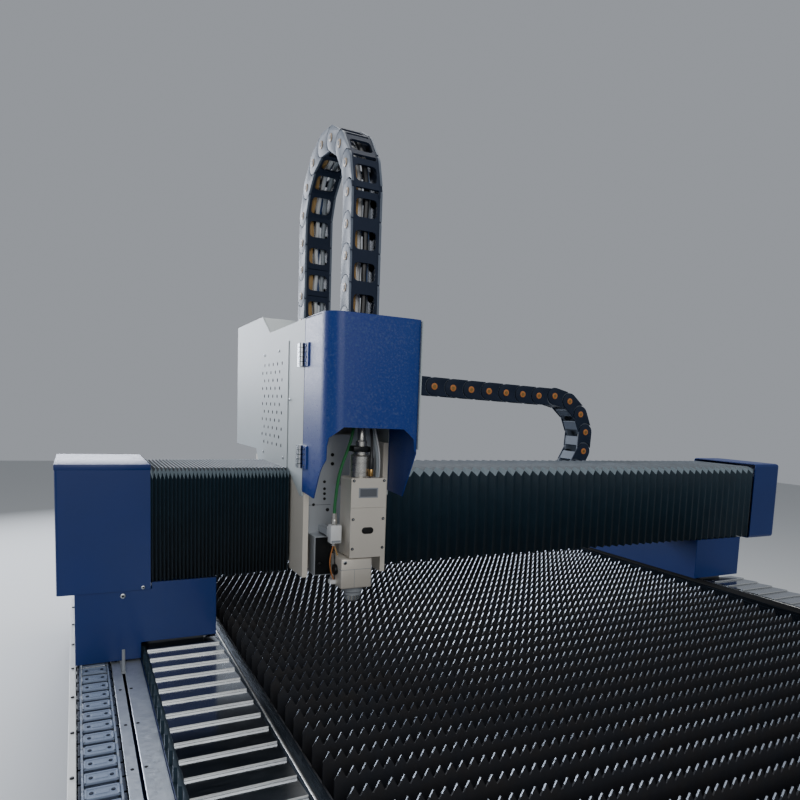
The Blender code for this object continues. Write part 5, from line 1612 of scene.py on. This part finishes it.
@dataclass
class CuttingHead:
    """The cutting head's panels, screws, barrel, connectors and leads."""

    optics_x: float = 0.5846
    nozzle_x: float = 0.5735
    y: float = -0.160
    face: float = -0.202

    def front_panel(self) -> None:
        """The two-part front panel with its window, port and six screws."""
        shape = Shape()
        face = self.face
        for x, y, z, edge, slot in (
            ((0.549, 0.629), (face, -0.1973), (-0.0739, -0.010), 0.0003, 0),
            ((0.549, 0.629), (face, -0.1973), (-0.183, -0.0742), 0.0003, 0),
            ((0.566, 0.610), (face - 0.0006, face), (-0.0525, -0.031), 0.0004, 1),
            ((0.569, 0.607), (face - 0.0009, face), (-0.050, -0.0335), 0.0003, 2),
        ):
            shape.block(x, y, z, edge, slot=slot)
        # The port's inner recess takes the dark finish: painted shade in its depth
        for half, radius, depth, edge, slot in (
            (0.0062, 0.0072, 0.0009, 0.0003, 3), (0.0045, 0.0045, 0.0013, 0.0, 4),
        ):
            port = [(gx(0.5884) + u, gz(-0.1237) + v) for u, v in stadium(half, radius, 8)]
            shape.plate(port, "Y", (gy(face - depth), gy(face)), edge, slot)
        shape.piece(
            "head_front_panel", "head", "head_silver",
            (ANODISED, GREY_PRIMER, SMOKED_GLASS, BLACK_OXIDE, DARK_HOLE), ("head_front_plate",),
        )
        places = [gp(x, face, z) for z in (-0.0155, -0.0985, -0.1625) for x in (0.5545, 0.6235)]
        set_screws(
            "head_panel_screws", "head", "head_silver", places, TO_FRONT, 0.0031, 0.0016,
            PANEL_SCREW,
        )

    def barrel(self) -> None:
        """The optics barrel: ribbed rings, a square clamp and the fibre's plug."""
        shape = Shape()
        wide, groove = 0.0235, 0.0225
        profile = [
            (0.0, 0.0), (wide, 0.0), (wide, 0.010), (groove, 0.0105), (groove, 0.012),
            (wide, 0.0125), (wide, 0.030), (groove, 0.0305), (groove, 0.032),
            (wide, 0.0325), (wide, 0.046), (0.0215, 0.049), (0.0165, 0.050), (0.0165, 0.061),
            (0.0125, 0.062), (0.0125, 0.078), (0.009, 0.080), (0.009, 0.104), (0.008, 0.1065),
            (0.0, 0.1065),
        ]
        shape.turned(profile, gp(self.optics_x, self.y, -0.0117))
        shape.block((0.5600, 0.5985), (-0.181, -0.139), (0.0440, 0.0560), 0.0015, 2, slot=1)
        finishes = (TURNED_ALUMINIUM, BLACK_OXIDE)
        shape.piece("optics_barrel", "head", "head_silver", finishes, ("collimator",))
        plug = Shape()
        for z, radius, length, sides, tip, edge, slot in (
            (0.000, 0.0062, 0.016, 14, None, 0.001, 1),
            (0.019, 0.0058, 0.026, 12, None, 0.001, 0),
            (0.038, 0.0046, 0.014, 12, 0.003, 0.0, 0),
        ):
            plug.rod(gp(0.5985, -0.186, z), radius, length, "Z", sides, tip, edge, slot)
        plug.piece("head_plug", "head", "black_plastic", (BLACK_JACKET, BRASS))

    def leads(self) -> None:
        """The leads that rise from the head under the cover, and the sensor's lead."""
        for name, finish, radius, route in (
            ("lead_black", BLACK_JACKET, 0.0028, (
                (0.5985, -0.186, 0.044), (0.5995, -0.186, 0.060), (0.6000, -0.180, 0.085),
                (0.6030, -0.160, 0.115), (0.6060, -0.120, 0.150), (0.6150, -0.080, 0.185),
                (0.6220, -0.045, 0.199),
            )),
            ("lead_grey", GREY_JACKET, 0.0040, (
                (0.620, -0.168, -0.012), (0.621, -0.168, 0.010), (0.619, -0.168, 0.040),
                (0.613, -0.166, 0.070), (0.609, -0.150, 0.110), (0.612, -0.105, 0.155),
                (0.622, -0.060, 0.190), (0.625, -0.035, 0.199),
            )),
            ("lead_pale", WHITE_JACKET, 0.0030, (
                (0.627, -0.160, -0.012), (0.628, -0.160, 0.015), (0.626, -0.160, 0.045),
                (0.619, -0.160, 0.078), (0.614, -0.145, 0.115), (0.618, -0.100, 0.160),
                (0.630, -0.055, 0.192), (0.634, -0.030, 0.199),
            )),
            ("sensor_lead", GREEN_JACKET, 0.0034, (
                (0.5310, -0.150, -0.092), (0.5316, -0.150, -0.070), (0.5345, -0.150, -0.045),
                (0.5370, -0.150, -0.022), (0.5425, -0.150, 0.003), (0.5500, -0.150, 0.026),
                (0.5575, -0.150, 0.046), (0.5640, -0.150, 0.066), (0.5700, -0.148, 0.088),
                (0.5780, -0.135, 0.120), (0.5950, -0.100, 0.160), (0.6150, -0.060, 0.192),
                (0.6190, -0.040, 0.199),
            )),
        ):
            shape = Shape()
            shape.tube(rounded([gp(*point) for point in route]), radius, 10)
            shape.piece(name, "head", "black_plastic", (finish,))

    def sensor(self) -> None:
        """The white sensor box, its connectors and the thin wires below it."""
        shape = Shape()
        for x, y, z, edge, rounds, slot in (
            ((0.519, 0.5435), (-0.165, -0.143), (-0.1565, -0.117), 0.0018, 2, 0),
            ((0.523, 0.534), (-0.143, -0.124), (-0.1480, -0.1250), 0.001, 1, 0),
            ((0.521, 0.5415), (-0.1656, -0.165), (-0.1545, -0.1500), 0.0, 1, 2),
            ((0.5215, 0.5355), (-0.160, -0.146), (-0.2480, -0.2390), 0.001, 1, 0),
        ):
            shape.block(x, y, z, edge, rounds, slot)
        for z, radius, length, sides, edge in (
            (-0.111, 0.0065, 0.012, 12, 0.001), (-0.099, 0.0055, 0.014, 6, 0.0),
            (-0.160, 0.0045, 0.008, 12, 0.0),
        ):
            shape.rod(gp(0.5310, -0.150, z), radius, length, sides=sides, edge=edge, slot=1)
        finishes = (WHITE_BOX, TURNED_ALUMINIUM, GREY_PRIMER)
        shape.piece("sensor_housing", "head", "grey_box", finishes, ("sensor_box",))
        wires = Shape()
        for i, bow in enumerate((-0.010, 0.002, 0.012)):
            route = (
                (0.5305 + 0.001 * i, -0.150, -0.163), (0.5310 + bow * 0.5, -0.151, -0.178),
                (0.5320 + bow, -0.152, -0.198), (0.5320 + bow * 0.7, -0.152, -0.220),
                (0.5340 + bow * 0.2, -0.152, -0.240),
            )
            wires.tube(rounded([gp(*point) for point in route]), 0.0015, 6, i)
        wires.piece("sensor_wires", "head", "tan_cable", (ORANGE_JACKET, BLACK_JACKET, TAN_JACKET))

    def lower_body(self) -> None:
        """The lower body with its seams, the holder and the crowned nozzle nut."""
        shape = Shape()
        left, right = 0.5346, 0.6053
        front, rear = -0.193, -0.123
        shape.block((left, right), (front, rear), (-0.2525, -0.1856), 0.0035, 3)
        band = ((left - 0.0005, right + 0.0005), (front - 0.0005, rear + 0.0005))
        shape.block(*band, (-0.2103, -0.2096), slot=1)
        seam = (left + 0.030, left + 0.0306)
        shape.block(seam, (front - 0.0004, front), (-0.251, -0.2100), slot=1)
        shape.rod(gp(0.5430, -0.1935, -0.194), 0.0042, 0.002, "Y", 12, edge=0.0005, slot=3)
        shape.rod(gp(0.5430, -0.1945, -0.194), 0.0022, 0.001, "Y", 6, slot=2)
        shape.rod(gp(left - 0.003, self.y, -0.215), 0.012, 0.006, "X", 20, edge=0.001, slot=2)
        shape.piece(
            "head_lower_body", "head", "head_silver",
            (ANODISED, GREY_PRIMER, BLACK_OXIDE, ZINC_PLATE), ("head_lower",),
        )
        holder = Shape()
        profile = [
            (0.0, 0.0), (0.0225, 0.0), (0.0225, -0.011), (0.0215, -0.0125), (0.0185, -0.014),
            (0.0185, -0.020), (0.0, -0.020),
        ]
        holder.turned(profile, gp(self.nozzle_x, self.y, -0.2530))
        holder.piece("ceramic_holder", "head", "black_plastic", (GREY_PRIMER,), ("nozzle_holder",))
        nut = Shape()
        profile = [
            (0.0, 0.0), (0.0150, 0.0), (0.0150, -0.011), (0.0140, -0.0125), (0.006, -0.0145),
            (0.0035, -0.0175), (0.0, -0.0175),
        ]
        centre = gp(self.nozzle_x, self.y, -0.2733)
        nut.turned(profile, centre)
        grip = ((0.0140, 0.0168), (-0.0017, 0.0017), (-0.0105, -0.0008))
        for i in range(14):
            turn = Matrix.Translation(centre) @ Matrix.Rotation(2 * math.pi * i / 14, 4, "Z")
            nut.box(*grip, 0.0006, slot=1, turn=turn)
        nut.piece("nozzle_nut", "head", "copper", (TURNED_ALUMINIUM, ZINC_PLATE), ("nozzle",))

    def slide_details(self) -> None:
        """Painted-shade tapped holes and joint, and the guard's knob on the plate behind the head.
        """
        shape = Shape()
        for x, z, radius in (
            (0.5536, 0.0288, 0.0042), (0.5541, 0.0081, 0.0042), (0.5362, -0.0331, 0.0034),
            (0.5366, -0.0492, 0.0034), (0.5368, -0.0607, 0.0034), (0.5371, -0.0723, 0.0034),
            (0.5449, -0.0980, 0.0042), (0.5115, -0.0854, 0.0034),
        ):
            shape.rod(gp(x, -0.0622, z), radius, 0.0006, "Y", 12)
        shape.block((0.4985, 0.552), (-0.0625, -0.062), (-0.0865, -0.0858))
        shape.block((0.502, 0.5435), (-0.1135, -0.112), (-0.236, -0.152), 0.0006, slot=1)
        shape.rod(gp(0.512, -0.1155, -0.212), 0.0045, 0.006, "Y", 12, edge=0.001, slot=1)
        shape.piece("slide_details", "head", "machined_steel", (DARK_HOLE, BLACK_OXIDE))

    def build(self) -> None:
        """Dresses the head."""
        self.front_panel()
        self.barrel()
        self.leads()
        self.sensor()
        self.lower_body()
        self.slide_details()


@dataclass
class SheetMetal:
    """Finishes and soft edges of the solids that stay as they are."""

    edge: float = 0.0012
    finishes: tuple[tuple[Finish, str], ...] = (
        (NAVY_ENAMEL, "side_beam_left side_beam_right end_plate_front end_plate_rear end_box "
         "end_cap saddle_cover_left saddle_cover_right scrap_drawer"),
        (PALE_POWDER_COAT, "housing_left housing_right housing_top"),
        (GREY_PRIMER, "gantry_beam saddle_left saddle_right"),
        (CREAM_ENAMEL, "carriage_plate"),
        (WHITE_ENAMEL, "chain_trough"),
        (GALVANISED_SHEET, "slot_plate x_chain_tray"),
        (OILED_SHEET, "ledge_left ledge_right"),
        (SOOTED_STEEL, "scrap_floor"),
        (GROUND_STEEL, "rail_left rail_right rack_left rack_right x_rail_upper x_rail_lower "
         "x_rack y_pinion_left y_pinion_right x_pinion z_screw"),
        (ZINC_PLATE, "hinge_upper hinge_lower"),
        (MILLED_PLATE, "z_slide"),
        (ANODISED, "head_body"),
        (BLACK_OXIDE, "y_motor_left y_motor_right x_motor z_motor"),
    )
    softened: str = (
        "side_beam_left side_beam_right end_plate_front end_plate_rear saddle_cover_left "
        "saddle_cover_right scrap_drawer housing_left housing_right housing_top carriage_plate "
        "chain_trough slot_plate ledge_left ledge_right x_chain_tray z_slide"
    )

    def build(self) -> None:
        """Dresses the solids and rounds the edges of their sheet metal."""
        for finish, names in self.finishes:
            for name in names.split():
                self.dress(name, finish)

    def dress(self, name: str, finish: Finish) -> None:
        """Gives one solid its finish, and its soft edges if it is bent or welded sheet.

        Args:
            name: the solid's name.
            finish: its finish.
        """
        obj = bpy.data.objects.get(name)
        if obj is None:
            LOG.warning("no solid %s", name)
            return
        if not obj.data.materials:
            obj.data.materials.append(None)
        for slot in obj.material_slots:
            slot.material = finish.material()
        if name in self.softened.split():
            weld = obj.modifiers.new("Weld", "WELD")
            weld.merge_threshold = 0.0001
            bevel = obj.modifiers.new("Edges", "BEVEL")
            bevel.width = self.edge
            bevel.segments = 2
            bevel.limit_method = "ANGLE"
            bevel.angle_limit = math.radians(50)
            bevel.harden_normals = False


@dataclass
class Trim:
    """Thin lids and edges of the sheet boxes."""

    lid: tuple[Span, Span, Span] = ((-0.0008, 0.1768), (-0.0008, 0.2708), (-0.0115, 0.0008))
    strip_run: Span = (-2.1440, 1.0960)
    strips: tuple[tuple[Span, Span], ...] = (
        ((-0.8030, -0.8002), (0.8812, 0.8822)),
        ((-0.7998, -0.7974), (0.8670, 0.8805)),
    )

    def build(self) -> None:
        """Adds the end box's lid and the bright edges beside the bed's covers, a painted
        highlight.
        """
        lid = Shape()
        lid.block(*self.lid, 0.0018, 2)
        lid.piece("end_box_lid", "gantry", "navy_paint", (NAVY_ENAMEL,))
        strip = Shape()
        for side in (1, -1):
            for slot, (x, z) in enumerate(self.strips):
                across = span(*(BED_MIDDLE + side * (v - BED_MIDDLE) for v in x))
                strip.box(across, self.strip_run, z, 0.0003, slot=slot)
        strip.piece("ledge_trim", "bed", "galvanised_steel", (STAINLESS_EDGE_HIGHLIGHT, RUBBER))


@dataclass
class Studio:
    """The camera, the pale floor and the soft lights."""

    eye: Triple = (-1.082, -2.335, 1.418)
    yaw: float = 29.02
    pitch: float = -6.234
    roll: float = 2.544
    lens: float = 30.543
    sensor: float = 36.0
    shift: Pair = (-0.0625, 0.105)
    floor_size: float = 14.0

    def camera(self) -> None:
        """Sets the camera where the photographer stood."""
        yaw, pitch, roll = (math.radians(v) for v in (self.yaw, self.pitch, self.roll))
        ahead = Vector((
            math.sin(yaw) * math.cos(pitch), math.cos(yaw) * math.cos(pitch), math.sin(pitch)
        ))
        right = Vector((math.cos(yaw), -math.sin(yaw), 0.0))
        up = right.cross(ahead)
        across = right * math.cos(roll) + up * math.sin(roll)
        above = up * math.cos(roll) - right * math.sin(roll)
        data = bpy.data.cameras.new("camera")
        data.lens = self.lens
        data.sensor_width = self.sensor
        data.shift_x, data.shift_y = self.shift
        data.clip_start = 0.02
        camera = bpy.data.objects.new("camera", data)
        turn = Matrix((across, above, -ahead)).transposed().to_4x4()
        turn.translation = Vector(self.eye)
        camera.matrix_world = turn
        bpy.context.scene.collection.objects.link(camera)
        bpy.context.scene.camera = camera

    def floor(self) -> None:
        """Lays the plain pale floor."""
        part = bmesh.new()
        bmesh.ops.create_grid(part, x_segments=1, y_segments=1, size=self.floor_size)
        mesh = bpy.data.meshes.new("floor")
        part.to_mesh(mesh)
        part.free()
        floor = bpy.data.objects.new("floor", mesh)
        floor.location = (0, 0, -0.001)
        bpy.context.scene.collection.objects.link(floor)
        made = bpy.data.materials.new("pale_floor")
        made.use_nodes = True
        shader = made.node_tree.nodes["Principled BSDF"]
        shader.inputs["Base Color"].default_value = srgb("#c4c6c6")
        shader.inputs["Roughness"].default_value = 0.6
        mesh.materials.append(made)

    def lamp(
        self, name: str, place: Triple, aim: Triple, size: Pair, power: float, colour: str
    ) -> None:
        """Hangs one soft rectangular lamp.

        Args:
            name: its name.
            place, aim: where it hangs and the point it faces.
            size: its width and height.
            power: its power in watts.
            colour: its colour as a hex code.
        """
        data = bpy.data.lights.new(name, "AREA")
        data.shape = "RECTANGLE"
        data.size, data.size_y = size
        data.energy = power
        data.color = srgb(colour)[:3]
        lamp = bpy.data.objects.new(name, data)
        lamp.location = place
        lamp.rotation_euler = (Vector(aim) - Vector(place)).to_track_quat("-Z", "Y").to_euler()
        lamp.visible_camera = False
        bpy.context.scene.collection.objects.link(lamp)

    def build(self) -> None:
        """Sets up camera, floor, world and lamps."""
        self.camera()
        self.floor()
        world = bpy.data.worlds.new("studio")
        world.use_nodes = True
        sky = world.node_tree.nodes["Background"]
        sky.inputs["Color"].default_value = srgb("#c9ced6")
        sky.inputs["Strength"].default_value = 0.55
        bpy.context.scene.world = world
        self.lamp("window", (-3.2, 5.4, 3.0), (-0.5, -0.6, 1.0), (7.4, 2.8), 540.0, "#f0f5ff")
        self.lamp("overhead", (0.6, 0.6, 5.2), (0.2, 0.0, 0.9), (4.0, 4.0), 150.0, "#ffffff")
        self.lamp("front_fill", (-1.5, -6.0, 3.2), (0.0, 0.0, 1.0), (4.0, 3.0), 130.0, "#f4f2ee")


def main() -> None:
    """Builds the classes in order."""
    logging.basicConfig(level=logging.INFO, format="%(name)s %(message)s")
    for part in (
        Studio(), SheetMetal(), SlatTable(), BedCovers(), BeamCovers(), Chains(), Fasteners(),
        Housing(), Door(), CuttingHead(), Trim(),
    ):
        LOG.info("building %s", type(part).__name__)
        part.build()


if __name__ == "__main__":
    main()
